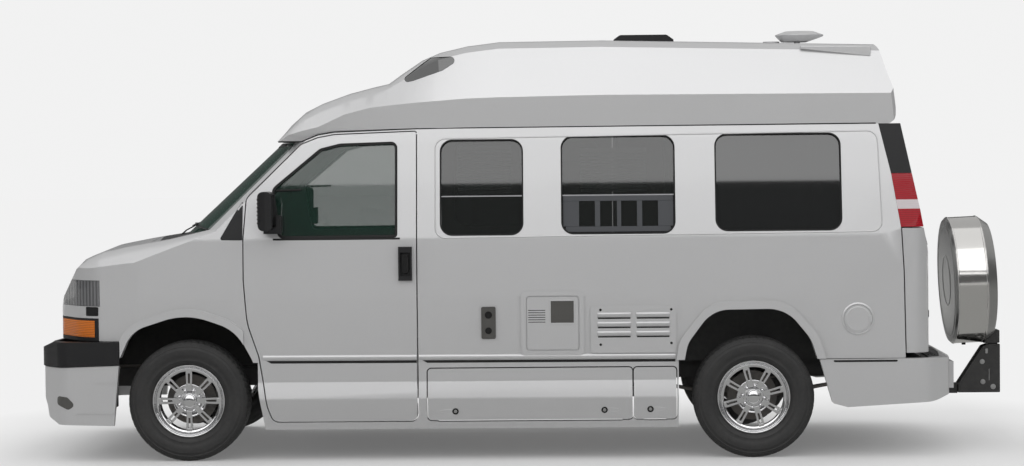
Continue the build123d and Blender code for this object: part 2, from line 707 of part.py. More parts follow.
def service_panels():
    frame = on_side(*SERVICE_FRAME, 9, 26)
    frame -= along_y(pane(*SERVICE_DOOR, grow=GAP, radius=16), *LEFT)
    vent = on_side(*VENT, 9, 20)
    for x0, x1 in ((2486, 2690), (2720, 2924)):
        for z in (742, 798, 854):
            vent -= along_y(pane(x0, x1, z, z + 32, 0, 10), -1300, -1011)
    return [biggest(frame), biggest(vent), on_side(*INLET, 10, 10)]


def service_door():
    return on_side(*SERVICE_DOOR, 8, 16, -0.4)


def fuel_flap():
    x, z, radius = FUEL
    skin = half(cabin_form(-5) - cabin_form(-0.4), -1)
    disc = Pos(x, -1000, z) * Rot(90, 0, 0) * Cylinder(radius, 400)
    return biggest(skin & disc)


def roof_vent():
    base = along_y([(2613, 2550, 0), (2613, 2566, 0), (2650, 2592, 14), (2950, 2592, 14), (2991, 2562, 0),
                    (2991, 2550, 0)], -190, 190)
    return biggest(base - cap_form(0))


def antenna():
    """Flying-saucer television aerial on its stem, and the small round base ahead of it."""
    dish = Solid.revolve(outline([(0, -48, 0), (116, -48, 12), (157, -4, 4), (90, 20, 30), (0, 24, 0)],
                                 lambda p: (p.X, 0, p.Y)), 360, Axis.Z)
    dish = Pos(3801, 0, 2592) * dish
    dish &= along_y([(3600, 2544, 0), (3850, 2546, 0), (3990, 2592, 0), (3990, 2640, 0), (3600, 2640, 0)], -200, 200)
    stem = Pos(3787, 0, 2560) * Cylinder(20, 44)
    dome = Pos(3622, 0, 2536) * Cylinder(52, 24)
    return [biggest((dish + stem) - cap_form(0)), biggest(dome - cap_form(0))]


# ---------------------------------------------------------------- cab and cabin inside
FLOOR_Z = (560, 598)


FOOTWELL_Y = 556                      # half width of the floor between the front wheels
LINER_Y = (566, 920)
LINER = [(-500, 300, 0), (-500, 640, 120), (-400, 830, 120), (-150, 935, 200), (180, 935, 200), (400, 830, 120),
         (488, 640, 120), (488, 300, 0)]


def floor_pan():
    """Floor between the front wheels, under the cabin and over the boxed rear wheel houses, and the firewall."""
    plan = block(502, 4440, -938, 938, *FLOOR_Z) + block(-80, 503, -FOOTWELL_Y, FOOTWELL_Y, *FLOOR_Z)
    floor = plan + block(-80, -50, -FOOTWELL_Y, FOOTWELL_Y, FLOOR_Z[0], 1180)
    for side in (-1, 1):
        low, high = sorted((side * 565, side * 936))
        floor += block(2935, 3945, low, high, FLOOR_Z[0], 945)
        floor -= block(2965, 3915, *sorted((side * 595, side * FAR)), 0, 915)
    return biggest(floor)


def wheel_liners():
    """Black linings inside the front wheel openings."""
    liners = []
    for side in (-1, 1):
        low, high = sorted((side * LINER_Y[0], side * LINER_Y[1]))
        hollow = along_y([(x, z - (1 if z < 301 else 0), r) for x, z, r in LINER], low - 1, high + 1)
        arch = panel(LINER, low, high, gap=10) - hollow
        low, high = sorted((side * LINER_Y[0], side * (LINER_Y[0] + 8)))
        arch += along_y(LINER, low, high) & block(-FAR, FAR, -FAR, FAR, 560, FAR)
        liners += [biggest(arch & block(-FAR, FAR, -FAR, FAR, 300, FAR))]
    return liners


@lru_cache
def chassis_frame():
    """Two box rails with five crossmembers, the receiver and the rear hangers."""
    frame = None
    for y in (-470, 470):
        rail = along_y([(-820, 420, 0), (-820, 530, 0), (600, 530, 60), (800, 500, 60), (2500, 500, 100),
                        (2800, 556, 100), (4560, 556, 0), (4560, 450, 0), (3000, 450, 100), (2700, 390, 100),
                        (800, 390, 60), (600, 420, 60)], y - 35, y + 35)
        frame = rail if frame is None else frame + rail
    for x in (-800, 640, 1500, 2500):
        frame += block(x, x + 90, -440, 440, 425, 480)
    frame += block(4440, 4530, -440, 440, 460, 545)
    frame += block(4440, 4500, -60, 60, 294, 470)
    tube = block(4440, 4795, -32, 32, 290, 354) - block(4500, 4800, -25.4, 25.4, 296.6, 347.4)
    return biggest(frame + tube)


def engine_block():
    return block(-640, -90, -300, 300, 480, 1000)


def tank_and_exhaust():
    tank = along_y([(1700, 250, 60), (2560, 250, 60), (2560, 380, 40), (1700, 380, 40)], -420, 420)
    muffler = Pos(1300, 640, 330) * Rot(0, 90, 0) * Cylinder(105, 620)
    tail_path = [(1610, 640), (2700, 640)]
    pipe = Pos((tail_path[0][0] + tail_path[1][0]) / 2, 640, 330) * Rot(0, 90, 0) * Cylinder(28, 1090)
    return [tank, biggest(muffler + pipe)]


def dashboard():
    dash = along_y([(120, 960, 0), (120, 1290, 20), (340, 1325, 50), (440, 1190, 60), (410, 960, 40)], -860, 860)
    dash &= windscreen_plane(WALL + 6)
    dash &= nose_form(FENDER + 6) + block(NOSE_END, 600, -860, 860, 800, 1330)
    wheel = Pos(560, -430, 1300) * Rot(0, -62, 0) * Torus(185, 15)
    spoke = Pos(560, -430, 1300) * Rot(0, -62, 0) * (Box(14, 370, 30) + Cylinder(55, 40))
    column = Pos(560, -430, 1300) * Rot(0, -62, 0) * Pos(0, 0, -150) * Cylinder(28, 330)
    return [biggest(dash + (wheel + spoke + column))]


def front_seats():
    seats = []
    for y in (-430, 430):
        base = along_y([(760, 620, 10), (1240, 620, 10), (1240, 760, 10), (760, 760, 10)], y - 200, y + 200)
        cushion = along_y([(700, 760, 50), (1230, 760, 20), (1230, 880, 40), (700, 920, 60)], y - 250, y + 250)
        back = along_y([(1130, 880, 30), (1300, 880, 50), (1440, 1480, 40), (1330, 1500, 40)], y - 240, y + 240)
        head = along_y([(1345, 1490, 0), (1440, 1475, 0), (1470, 1690, 30), (1385, 1700, 30)], y - 130, y + 130)
        seats += [biggest(base + cushion + back + head)]
    return seats


def cabinets():
    """Galley on the driver's side, wardrobe on the other, and the sofa at the back."""
    galley = block(1600, 2900, -900, -420, 600, 1330)
    galley += block(2620, 2900, -810, -420, 1330, 1990)
    galley -= block(1640, 2580, -500, -400, 660, 1280)
    wardrobe = block(2680, 2928, 420, 810, 600, 1990)
    sofa = block(3200, 4240, -556, 556, 600, 960)
    sofa += block(4100, 4240, -540, 540, 960, 1290)
    return [galley, wardrobe, sofa]


# ---------------------------------------------------------------- running gear
def tyre_profile():
    half_w = TYRE_W / 2
    right = [(BEAD_R + 0.3, 75, 0), (RIM_R + 1, 83, 0), (RIM_R + 3, 98, 0), (300, half_w, 0), (350, 100, 0),
             (TYRE_R, 80, 0)]
    return right + [(r, -y, 0) for r, y, _ in reversed(right)]


def tyre():
    """Tyre on the Y axis, centred on the origin."""
    face = outline(tyre_profile(), lambda p: (p.X, p.Y, 0))
    return Solid.revolve(face, 360, Axis.Y)


def rim():
    """Wheel on the Y axis with its outer face toward -Y: barrel, eight slotted spokes, cap and lug nuts."""
    half_w = RIM_W / 2
    ring = outline([(RIM_R, -half_w, 0), (RIM_R, -84, 0), (BEAD_R, -76, 0), (BEAD_R, 76, 0), (RIM_R, 84, 0),
                    (RIM_R, half_w, 0), (RIM_R - 9, half_w, 0), (194, 68, 0), (194, -60, 0), (RIM_R - 14, -half_w, 0)],
                   lambda p: (p.X, p.Y, 0))
    wheel = Solid.revolve(ring, 360, Axis.Y)
    disc = Rot(90, 0, 0) * Cylinder(88, 22)
    wheel += Pos(0, -50, 0) * disc
    wheel += Pos(0, -66, 0) * Rot(90, 0, 0) * Cylinder(38, 44)
    for i in range(SPOKES):
        turn = Rot(0, i * 360 / SPOKES, 0)
        spoke = Pos(140, -58, 0) * Box(116, 22, 40) - Pos(146, -72, 0) * Box(80, 26, 11)
        wheel += turn * spoke
    for i in range(LUGS):
        turn = Rot(0, (i + 0.5) * 360 / LUGS, 0)
        wheel += turn * Pos(60, -66, 0) * Rot(90, 0, 0) * Cylinder(10, 16)
    return biggest(wheel)


def placed_wheel(shape, x, side, turn=0.0):
    """Put a wheel piece on its axle with its outer face outward."""
    spun = Rot(0, turn, 0) * shape
    if side > 0:
        spun = mirror(spun, Plane.XZ)
    return Pos(x, side * WHEEL_Y, HUB_Z) * spun


def knuckle(side):
    """Upright between the two arms, with the hub and the brake disc."""
    post = Pos(0, side * KINGPIN_Y, HUB_Z) * Cylinder(26, 240)
    hub = rod(0, *sorted((side * KINGPIN_Y, side * 905)), HUB_Z, 40)
    disc = rod(0, *sorted((side * 800, side * 826)), HUB_Z, 150)
    arm = block(20, 190, *sorted((side * 700, side * 730)), HUB_Z - 60, HUB_Z - 30)
    return biggest(post + hub + disc + arm)


def front_suspension():
    """Crossmember and the upper and lower arms, which end above and below each knuckle."""
    beam = block(-90, 90, -434, 434, 330, 450)
    for side in (-1, 1):
        for z, x_half in ((222, 130), (510, 90)):
            arm = along_z([(-x_half, 430, 0), (-34, 766, 24), (34, 766, 24), (x_half, 430, 0)], z - 12, z + 12)
            beam += arm if side > 0 else mirror(arm, Plane.XZ)
            beam += block(-60, 60, *sorted((side * 380, side * 436)), min(z, 420) - 12, max(z, 440) + 12)
    return biggest(beam - chassis_frame())


def rear_axle():
    """Live axle with its differential, drums and leaf springs."""
    axle = rod(WHEELBASE, -760, 760, HUB_Z, 42)
    axle += Pos(WHEELBASE, 0, HUB_Z) * Sphere(150)
    for side in (-1, 1):
        axle += rod(WHEELBASE, *sorted((side * 770, side * 826)), HUB_Z, 150)
        axle += rod(WHEELBASE, *sorted((side * 740, side * 905)), HUB_Z, 40)
        leaf = along_y([(2770, 440, 0), (3429, 332, 1200), (4088, 440, 0), (4088, 428, 0), (3429, 302, 1200),
                        (2770, 428, 0)], *sorted((side * 515, side * 580)))
        axle += leaf
    return biggest(axle)


# ---------------------------------------------------------------- spare wheel and its carrier
SPARE_X = (4733, 4938, 4998)          # front face, end of the band, rear face
SPARE_TAPER = 46                      # how much smaller the rear face is
SPARE_Z = 1016
SPARE_R = 404
SPARE_LEAN = 2.5
PIVOT = (5018, 332)


@lru_cache
def spare_cover():
    """Steel drum over the spare wheel: flat front, plain band, coned rear."""
    x0, x1, x2 = SPARE_X
    face = outline([(0, x0, 0), (SPARE_R - 14, x0, 0), (SPARE_R, x0 + 14, 0), (SPARE_R, x1, 0),
                    (SPARE_R - SPARE_TAPER, x2, 0), (0, x2, 0)], lambda p: (p.Y, 0, p.X))
    drum = Solid.revolve(face, 360, Axis.X)
    drum = Pos(0, 0, SPARE_Z) * drum
    middle = (x0 + x2) / 2
    drum = Pos(middle, 0, SPARE_Z) * Rot(0, -SPARE_LEAN, 0) * Pos(-middle, 0, -SPARE_Z) * drum
    return biggest(drum)


def carrier_arm():
    post = block(4985, 5050, -42, 42, 306, 612)
    head = along_y([(4960, 612, 0), (5060, 612, 4), (5060, 694, 4), (5020, 694, 0), (4990, 660, 0)], -58, 58)
    arm = (post + head) - rod(PIVOT[0], -60, 60, PIVOT[1], 8.3)
    return biggest(arm - spare_cover())


def carrier_bracket():
    """Two gusset plates on the tube that slides into the receiver, and the pivot pin."""
    plates = None
    for y in (-54, 54):
        plate = along_y([(4797, 296, 0), (4797, 350, 0), (4955, 590, 10), (5000, 606, 10), (5062, 606, 6),
                         (5062, 296, 6)], y - 6, y + 6)
        plates = plate if plates is None else plates + plate
    plates += block(4797, 4860, -48, 48, 297, 347)
    tube = block(4520, 4800, -25, 25, 297, 347)
    plates += tube
    plates += block(4900, 4912, -48, 48, 300, 480)
    return biggest(plates + rod(PIVOT[0], -60, 60, PIVOT[1], 8))


# ---------------------------------------------------------------- writing the pieces
keep("body_side_left", body_side(-1))
keep("body_side_right", body_side(1))
keep("nose_shell", nose_shell())
keep("bonnet", bonnet())
keep("cowl", cowl())
keep("front_lamps", headlamps() + turn_signals())
keep("grille", grille())
keep("front_bumper", front_bumper())
keep("air_dam", air_dam())
keep("rear_bumper", rear_bumper())
keep("roof_cap", roof_cap())
keep("cap_windows", cap_windows())
keep("roof_vent", roof_vent())
keep("antenna", antenna())
keep("body_glass", [windscreen()] + cabin_glass())
keep("skirts", [skirt(-1), skirt(1)])
for name, x0, x1 in LIDS:
    keep(name, storage_lid(x0, x1))
for side, label in ((-1, "left"), (1, "right")):
    keep(f"door_{label}", cabin_door(side))
    keep(f"door_{label}_glass", door_glass(side))
    keep(f"door_{label}_fittings", door_fittings(side))
keep("side_door_front", side_leaf(*FRONT_LEAF, FRONT_LEAF_WINDOW, 1))
keep("side_door_front_glass", glass_in(pane(*FRONT_LEAF_WINDOW, grow=-0.5), 1))
keep("side_door_rear", side_leaf(*REAR_LEAF, REAR_LEAF_WINDOW, -1))
keep("side_door_rear_glass", glass_in(pane(*REAR_LEAF_WINDOW, grow=-0.5), 1))
keep("rear_doors", rear_doors())
keep("rear_door_glass", rear_glass())
keep("tail_lamps", [corner(*LAMP_Z, side) for side in (-1, 1)])
keep("corner_trims", [corner(LAMP_Z[1] + 1, 2030, side) for side in (-1, 1)])
keep("service_panels", service_panels())
keep("service_door", service_door())
keep("fuel_flap", fuel_flap())
keep("floor_pan", floor_pan())
keep("wheel_liners", wheel_liners())
keep("chassis_frame", chassis_frame())
keep("engine_and_tank", [engine_block()] + tank_and_exhaust())
keep("dashboard", dashboard())
keep("front_seats", front_seats())
keep("cabinets", cabinets())
keep("front_suspension", front_suspension())
keep("rear_axle", rear_axle())
keep("carrier_bracket", carrier_bracket())
keep("carrier_arm", carrier_arm())
keep("spare_cover", spare_cover())
for x, side, label in ((0, -1, "front_left"), (0, 1, "front_right"), (WHEELBASE, -1, "rear_left"),
                       (WHEELBASE, 1, "rear_right")):
    keep(f"tyre_{label}", placed_wheel(tyre(), x, side))
    keep(f"rim_{label}", placed_wheel(rim(), x, side, 90 if x == 0 else 105))
    if x == 0:
        keep(f"knuckle_{label.split('_')[1]}", knuckle(side))
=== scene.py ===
# %% [markdown]
# # Dressing a camper van
# The solids of the van are finished before this lesson starts. They arrive as a fixed frame, in metres: the
# ground is z = 0, the nose points toward -X, and the driver sits on the -Y side. This script never moves
# them. It gives each of them a finish, adds the small pieces that a maker would fit last, and sets up the
# floor, the light and the camera.

# %% Load the frame
import math

import bpy
import bmesh
from mathutils import Matrix, Vector
from mathutils.bvhtree import BVHTree


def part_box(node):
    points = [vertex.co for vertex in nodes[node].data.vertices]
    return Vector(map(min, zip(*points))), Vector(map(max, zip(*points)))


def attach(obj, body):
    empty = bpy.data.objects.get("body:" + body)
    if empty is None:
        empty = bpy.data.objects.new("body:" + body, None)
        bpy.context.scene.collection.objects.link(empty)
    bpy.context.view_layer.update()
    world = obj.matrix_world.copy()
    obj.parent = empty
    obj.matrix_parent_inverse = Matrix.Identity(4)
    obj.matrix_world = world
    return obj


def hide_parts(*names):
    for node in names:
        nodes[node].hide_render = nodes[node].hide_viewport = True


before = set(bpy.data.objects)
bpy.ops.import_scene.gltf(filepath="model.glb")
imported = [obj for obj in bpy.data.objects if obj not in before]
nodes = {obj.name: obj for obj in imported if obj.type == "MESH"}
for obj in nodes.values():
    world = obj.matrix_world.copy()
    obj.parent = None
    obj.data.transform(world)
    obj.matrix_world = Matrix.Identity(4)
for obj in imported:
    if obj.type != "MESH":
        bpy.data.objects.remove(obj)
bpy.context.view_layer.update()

# %% [markdown]
# Everything on the van is placed from a few stations. The two axles come from the tyres, so a piece that
# belongs beside a wheel stays beside it. A length in this script is in metres, and `station(x)` turns a
# distance behind the front axle into the frame's own x.

# %% Stations along the van
def centre(node):
    low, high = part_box(node)
    return (low + high) / 2


FRONT_AXLE = centre("tyre_front_left")
REAR_AXLE = centre("tyre_rear_left")
NEAR, FAR_SIDE = -1, 1            # the driver's side and the passenger's side
SIDES = ((NEAR, "near"), (FAR_SIDE, "far"))


def station(x):
    return FRONT_AXLE.x + x


print("front axle", round(FRONT_AXLE.x, 3), "wheelbase", round(REAR_AXLE.x - FRONT_AXLE.x, 3))

# %% [markdown]
# ## Shader sums in plain Python
# A finish is a small sum: so much of this noise, less where that mask is strong. `Wire` wraps one socket,
# so that such a sum can be written as one, and every operator adds the Math node that works it out.
# `Finish` holds one material, and its `node` method adds every other kind of node.

# %% The two shader classes
class Wire:
    """One output socket that can be added, multiplied and compared."""

    def __init__(self, finish, socket):
        self.finish = finish
        self.socket = socket

    def _math(self, operation, first, second=None):
        values = {0: first} if second is None else {0: first, 1: second}
        return self.finish.node("ShaderNodeMath", {"operation": operation}, values)

    def __add__(self, other):
        return self._math("ADD", self, other)

    def __sub__(self, other):
        return self._math("SUBTRACT", self, other)

    def __mul__(self, other):
        return self._math("MULTIPLY", self, other)

    def __truediv__(self, other):
        return self._math("DIVIDE", self, other)

    def __gt__(self, other):
        return self._math("GREATER_THAN", self, other)

    def __lt__(self, other):
        return self._math("LESS_THAN", self, other)

    def __abs__(self):
        return self._math("ABSOLUTE", self)

    def clip(self):
        return self.finish.node("ShaderNodeClamp", {}, {"Value": self})


class Finish:
    """A material: one Principled shader, and the nodes that feed it."""

    def __init__(self, name, colour, **constants):
        self.material = bpy.data.materials.new(name)
        self.material.use_nodes = True
        self.tree = self.material.node_tree
        self.shader = self.tree.nodes["Principled BSDF"]
        self.material.diffuse_color = (*colour, 1)
        self.shader.inputs["Base Color"].default_value = (*colour, 1)
        for key, value in constants.items():
            self.shader.inputs[key.replace("_", " ").title().replace("Ior", "IOR")].default_value = value

    def node(self, kind, settings, values, output=0):
        made = self.tree.nodes.new(kind)
        for key, value in settings.items():
            setattr(made, key, value)
        for key, value in values.items():
            if isinstance(value, Wire):
                self.tree.links.new(value.socket, made.inputs[key])
            else:
                made.inputs[key].default_value = value
        return Wire(self, made.outputs[output])

    def feed(self, socket, wire):
        self.tree.links.new(wire.socket, self.shader.inputs[socket])

    def place(self):
        return self.node("ShaderNodeTexCoord", {}, {}, "Object")

    def noise(self, scale, detail=3.0, roughness=0.5):
        return self.node("ShaderNodeTexNoise", {}, {"Vector": self.place(), "Scale": scale, "Detail": detail,
                                                    "Roughness": roughness}, "Fac")

    def wave(self, direction, scale):
        values = {"Vector": self.place(), "Scale": scale}
        return self.node("ShaderNodeTexWave", {"bands_direction": direction}, values, "Fac")

    def height(self, axis="Z"):
        return self.node("ShaderNodeSeparateXYZ", {}, {0: self.place()}, axis)

    def mix(self, factor, dark, light):
        """One colour where the factor is 0, and the other where it is 1. Sockets 6 and 7 are the colours."""
        ends = [end if isinstance(end, Wire) else (*end, 1) for end in (dark, light)]
        return self.node("ShaderNodeMix", {"data_type": "RGBA"}, {0: factor, 6: ends[0], 7: ends[1]}, 2)

    def bump(self, height, strength, distance):
        return self.node("ShaderNodeBump", {}, {"Strength": strength, "Distance": distance, "Height": height})


print("shader classes ready")

# %% [markdown]
# ## Silver paint
# The body is steel and the high roof is moulded glass fibre, and both carry the same metallic silver: a grey coat
# full of aluminium flakes under clear lacquer. The roof's copy of it is painted 4 % lighter, which is painted
# light: the high roof looks brighter because more light falls on it from above. A mirror-like metal would look
# like chrome, so the metal is half matt and the gloss comes from the lacquer. Flakes are far too small to model,
# so a fine Voronoi pattern changes the lightness a little, and broad soft noise stands for the slight waves of
# hand-finished panels.

# %% Silver paint
SILVER = (0.58, 0.58, 0.585)


def silver_paint(name, colour, waves):
    paint = Finish(name, colour, metallic=0.52, roughness=0.34, coat_weight=0.4, coat_roughness=0.05)
    flakes = paint.node("ShaderNodeTexVoronoi", {}, {"Vector": paint.place(), "Scale": 900.0}, "Color")
    flake = paint.node("ShaderNodeSeparateColor", {}, {0: flakes}, 0)
    shade = paint.noise(1.3) * 0.3 + flake * 0.5
    dark, light = (tuple(c * share for c in colour) for share in (0.94, 1.07))
    paint.feed("Base Color", paint.mix(shade.clip(), dark, light))
    paint.feed("Roughness", paint.noise(40.0) * 0.06 + 0.31)
    paint.feed("Normal", paint.bump(paint.noise(2.2), waves, 0.002))
    return paint.material


steel_paint = silver_paint("silver_paint", SILVER, 0.25)
# The roof's silver is 4 % lighter than the body's: painted light from above, not another paint.
roof_paint_painted_lighter = silver_paint("silver_roof_painted_lighter", tuple(c * 1.04 for c in SILVER), 0.5)
print("silver", SILVER)

# %% [markdown]
# ## Black plastic, rubber and black steel
# Bumper covers and trims are grained polypropylene, which is why their gloss breaks up into tiny dots: a
# Voronoi bump at about a millimetre. Tyres are duller, with no grain. Frame rails are sprayed black and get
# dusty.

# %% Black materials
def black_plastic(name, colour, roughness, grain):
    plastic = Finish(name, colour, roughness=roughness, specular_ior_level=0.3)
    cells = plastic.node("ShaderNodeTexVoronoi", {"feature": "SMOOTH_F1"},
                         {"Vector": plastic.place(), "Scale": 700.0}, "Distance")
    plastic.feed("Normal", plastic.bump(cells, grain, 0.0006))
    plastic.feed("Roughness", plastic.noise(12.0) * 0.12 + (roughness - 0.06))
    return plastic.material


def dusty(name, colour, dust, roughness, scale):
    coat = Finish(name, colour, roughness=roughness)
    cloud = coat.noise(scale, 5.0) * coat.noise(scale * 7, 3.0) * 2.2
    coat.feed("Base Color", coat.mix(cloud.clip(), colour, dust))
    coat.feed("Roughness", coat.noise(scale * 3) * 0.2 + (roughness - 0.1))
    coat.feed("Normal", coat.bump(coat.noise(scale * 12), 0.3, 0.001))
    return coat.material


grained = black_plastic("grained_black", (0.014, 0.014, 0.015), 0.42, 0.35)
smooth_black = black_plastic("smooth_black", (0.012, 0.012, 0.012), 0.22, 0.05)
seal = black_plastic("rubber_seal", (0.010, 0.010, 0.010), 0.55, 0.1)
rubber = dusty("tyre_rubber", (0.013, 0.013, 0.014), (0.026, 0.025, 0.024), 0.62, 9.0)
black_steel = dusty("black_steel", (0.015, 0.015, 0.016), (0.035, 0.034, 0.032), 0.5, 5.0)
castings = dusty("bare_castings", (0.10, 0.10, 0.10), (0.17, 0.15, 0.13), 0.6, 8.0)
liner = dusty("arch_liner", (0.008, 0.008, 0.008), (0.02, 0.019, 0.018), 0.8, 6.0)
grey_trim = black_plastic("grey_trim", (0.16, 0.16, 0.165), 0.55, 0.3)
well_grey = black_plastic("well_grey", (0.075, 0.073, 0.068), 0.45, 0.3)
vent_grey = black_plastic("vent_grey", (0.055, 0.058, 0.064), 0.40, 0.2)
blind_slats = black_plastic("blind_slats", (0.55, 0.60, 0.56), 0.5, 0.1)
print("black materials ready")

# %% [markdown]
# ## Bright metal
# The rims are chromed: almost white, and nearly without roughness. The spare wheel's cover is polished
# stainless sheet, rolled and buffed around its axis, so its faint lines run round the band. A noise
# stretched along the wheel's width draws them.

# %% Chrome and polished steel
chrome = Finish("chrome", (0.78, 0.78, 0.79), metallic=1.0, roughness=0.07)
chrome.feed("Roughness", chrome.noise(30.0) * 0.06 + 0.05)
chrome = chrome.material


def buffed(name, colour, roughness, along):
    metal = Finish(name, colour, metallic=1.0, roughness=roughness)
    stretched = metal.node("ShaderNodeMapping", {}, {"Vector": metal.place(), "Scale": along})
    lines = metal.node("ShaderNodeTexNoise", {}, {"Vector": stretched, "Scale": 1.0, "Detail": 4.0}, "Fac")
    metal.feed("Roughness", lines * 0.12 + (roughness - 0.06))
    metal.feed("Normal", metal.bump(lines, 0.08, 0.0005))
    return metal.material


band_steel = buffed("polished_band", (0.72, 0.71, 0.69), 0.12, (700.0, 12.0, 12.0))
face_steel = buffed("satin_face", (0.42, 0.42, 0.41), 0.30, (12.0, 160.0, 160.0))
plain_steel = buffed("plain_steel", (0.5, 0.5, 0.5), 0.3, (90.0, 90.0, 90.0))
bar_alloy = buffed("bar_alloy", (0.30, 0.30, 0.31), 0.35, (90.0, 90.0, 90.0))
print("metals ready")

# %% [markdown]
# ## Glass
# Van glass is tinted, and the cabin's is nearly black. Real refraction through two thin panes adds only
# noise, so the pane lets light straight through by its Alpha, and Fresnel makes it more of a mirror where
# it is seen at a slant.

# %% Glass
def glass(name, tint, darkness):
    pane = Finish(name, tint, roughness=0.02, ior=2.0, specular_ior_level=0.6)
    edge = pane.node("ShaderNodeFresnel", {}, {"IOR": 1.45})
    haze = pane.noise(3.0) * 0.02
    pane.feed("Alpha", (edge + darkness + haze).clip())
    return pane.material


cab_glass = glass("cab_glass", (0.014, 0.050, 0.034), 0.34)
cabin_glass = glass("cabin_glass", (0.008, 0.009, 0.009), 0.82)
blind_glass = glass("blind_glass", (0.008, 0.010, 0.009), 0.62)
dark_glass = glass("dark_glass", (0.006, 0.007, 0.007), 0.93)


def lens(name, colour, ribs):
    shell = Finish(name, colour, roughness=0.25, specular_ior_level=0.35, coat_weight=0.25, coat_roughness=0.03)
    wave = shell.wave(ribs, 30.0)
    # The ribs are painted into the base colour too, with a darker copy of the colour on one side of each rib:
    # painted shade, besides their bump.
    shell.feed("Base Color", shell.mix(wave, tuple(c * 0.55 for c in colour), colour))
    shell.feed("Normal", shell.bump(wave, 0.4, 0.002))
    return shell.material


amber_lens = lens("amber_lens", (0.62, 0.16, 0.012), "Z")
smoked_lens = Finish("smoked_lens", (0.10, 0.10, 0.102), roughness=0.12, coat_weight=1.0, coat_roughness=0.02)
flute_glints = smoked_lens.wave("X", 14.0)
# The flutes are also painted into the base colour as light and dark stripes: painted glints that stand for the
# reflectors behind the fluted glass.
smoked_lens.feed("Base Color", smoked_lens.mix(flute_glints, (0.040, 0.041, 0.043), (0.13, 0.13, 0.135)))
smoked_lens.feed("Normal", smoked_lens.bump(flute_glints, 0.35, 0.002))
smoked_lens = smoked_lens.material

tail_lens = Finish("tail_lens", (0.30, 0.002, 0.010), roughness=0.25, specular_ior_level=0.35, coat_weight=0.25,
                   coat_roughness=0.03)
ribs = tail_lens.wave("Z", 26.0)
clear_band = (tail_lens.height() > 1.497) * (tail_lens.height() < 1.552)
# The two reds follow the ribs: painted light and shade of the ribs, besides their bump.
red = tail_lens.mix(ribs, (0.24, 0.0006, 0.006), (0.36, 0.0015, 0.011))
tail_lens.feed("Base Color", tail_lens.mix(clear_band, red, (0.55, 0.50, 0.51)))
tail_lens.feed("Normal", tail_lens.bump(ribs, 0.35, 0.002))
tail_lens = tail_lens.material
print("glass ready")

# %% [markdown]
# ## What shows through the glass
# Seats are covered with woven cloth, and the cupboards are laminated board with a dark walnut print.

# %% Inside materials
def woven(name, colour):
    cloth = Finish(name, colour, roughness=0.9)
    weave = cloth.wave("X", 160.0) * cloth.wave("Z", 160.0)
    cloth.feed("Base Color", cloth.mix(weave, tuple(c * 0.7 for c in colour), colour))
    cloth.feed("Normal", cloth.bump(weave, 0.5, 0.001))
    return cloth.material


def board(name, dark, light):
    wood = Finish(name, dark, roughness=0.35)
    grain = wood.node("ShaderNodeMapping", {}, {"Vector": wood.place(), "Scale": (1.2, 6.0, 14.0)})
    rings = wood.node("ShaderNodeTexNoise", {}, {"Vector": grain, "Scale": 3.0, "Detail": 6.0, "Distortion": 0.8},
                      "Fac")
    wood.feed("Base Color", wood.mix(rings, dark, light))
    return wood.material


seat_cloth = woven("seat_cloth", (0.20, 0.20, 0.21))
walnut = board("walnut_board", (0.08, 0.035, 0.018), (0.20, 0.10, 0.05))
print("inside materials ready")

# %% [markdown]
# Every solid gets its finish here, by name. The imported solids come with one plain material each.

# %% Finish every solid
CORNERS = ("front_left", "front_right", "rear_left", "rear_right")
PANELS = ("body_side_left body_side_right nose_shell bonnet air_dam rear_bumper skirts storage_lid_long "
          "storage_lid_small door_left door_right side_door_front side_door_rear rear_doors")
MOULDINGS = "cowl front_bumper roof_vent door_left_fittings door_right_fittings corner_trims"
FINISHES = {
    steel_paint: PANELS + " service_panels service_door fuel_flap",
    roof_paint_painted_lighter: "roof_cap antenna",
    grained: MOULDINGS,
    smooth_black: "grille",
    smoked_lens: "front_lamps",
    tail_lens: "tail_lamps",
    cab_glass: "body_glass door_left_glass door_right_glass",
    cabin_glass: "rear_door_glass",
    dark_glass: "side_door_front_glass side_door_rear_glass cap_windows",
    chrome: " ".join("rim_" + corner for corner in CORNERS),
    rubber: " ".join("tyre_" + corner for corner in CORNERS),
    band_steel: "spare_cover",
    black_steel: "chassis_frame front_suspension carrier_bracket carrier_arm floor_pan",
    castings: "engine_and_tank rear_axle knuckle_left knuckle_right",
    liner: "wheel_liners",
    grey_trim: "dashboard",
    seat_cloth: "front_seats",
    walnut: "cabinets",
}
for material, names in FINISHES.items():
    for name in names.split():
        solid = nodes[name]
        solid.data.materials.clear()
        solid.data.materials.append(material)
print("finished solids", sum(len(names.split()) for names in FINISHES.values()), "of", len(nodes))

# %% [markdown]
# The solids arrive as flat facets. A pressed panel is smooth, so the shading of each corner is averaged
# with its neighbours', but only across edges that bend less than a crease. Nothing moves: these are shading
# normals only.

# %% Smooth shading for the panels
def soften(name, crease=24):
    mesh = nodes[name].data
    corners = {}
    for polygon in mesh.polygons:
        for loop in polygon.loop_indices:
            spot = mesh.vertices[mesh.loops[loop].vertex_index].co
            corners.setdefault(tuple(round(v * 5000) for v in spot), []).append((loop, polygon))
    limit = math.cos(math.radians(crease))
    normals = [None] * len(mesh.loops)
    for group in corners.values():
        known = [(polygon.normal.copy(), polygon.area) for _, polygon in group]
        for (loop, _), (own, _) in zip(group, known):
            total = Vector()
            for other, area in known:
                if own.dot(other) > limit:
                    total += other * area
            normals[loop] = total.normalized() if total.length > 0 else own
    mesh.normals_split_custom_set(normals)
    return len(corners)


SMOOTHED = (PANELS + " " + MOULDINGS + " roof_cap antenna tail_lamps body_glass cap_windows front_lamps grille "
            "spare_cover dashboard")
print("smoothed corners", sum(soften(name) for name in SMOOTHED.split()))

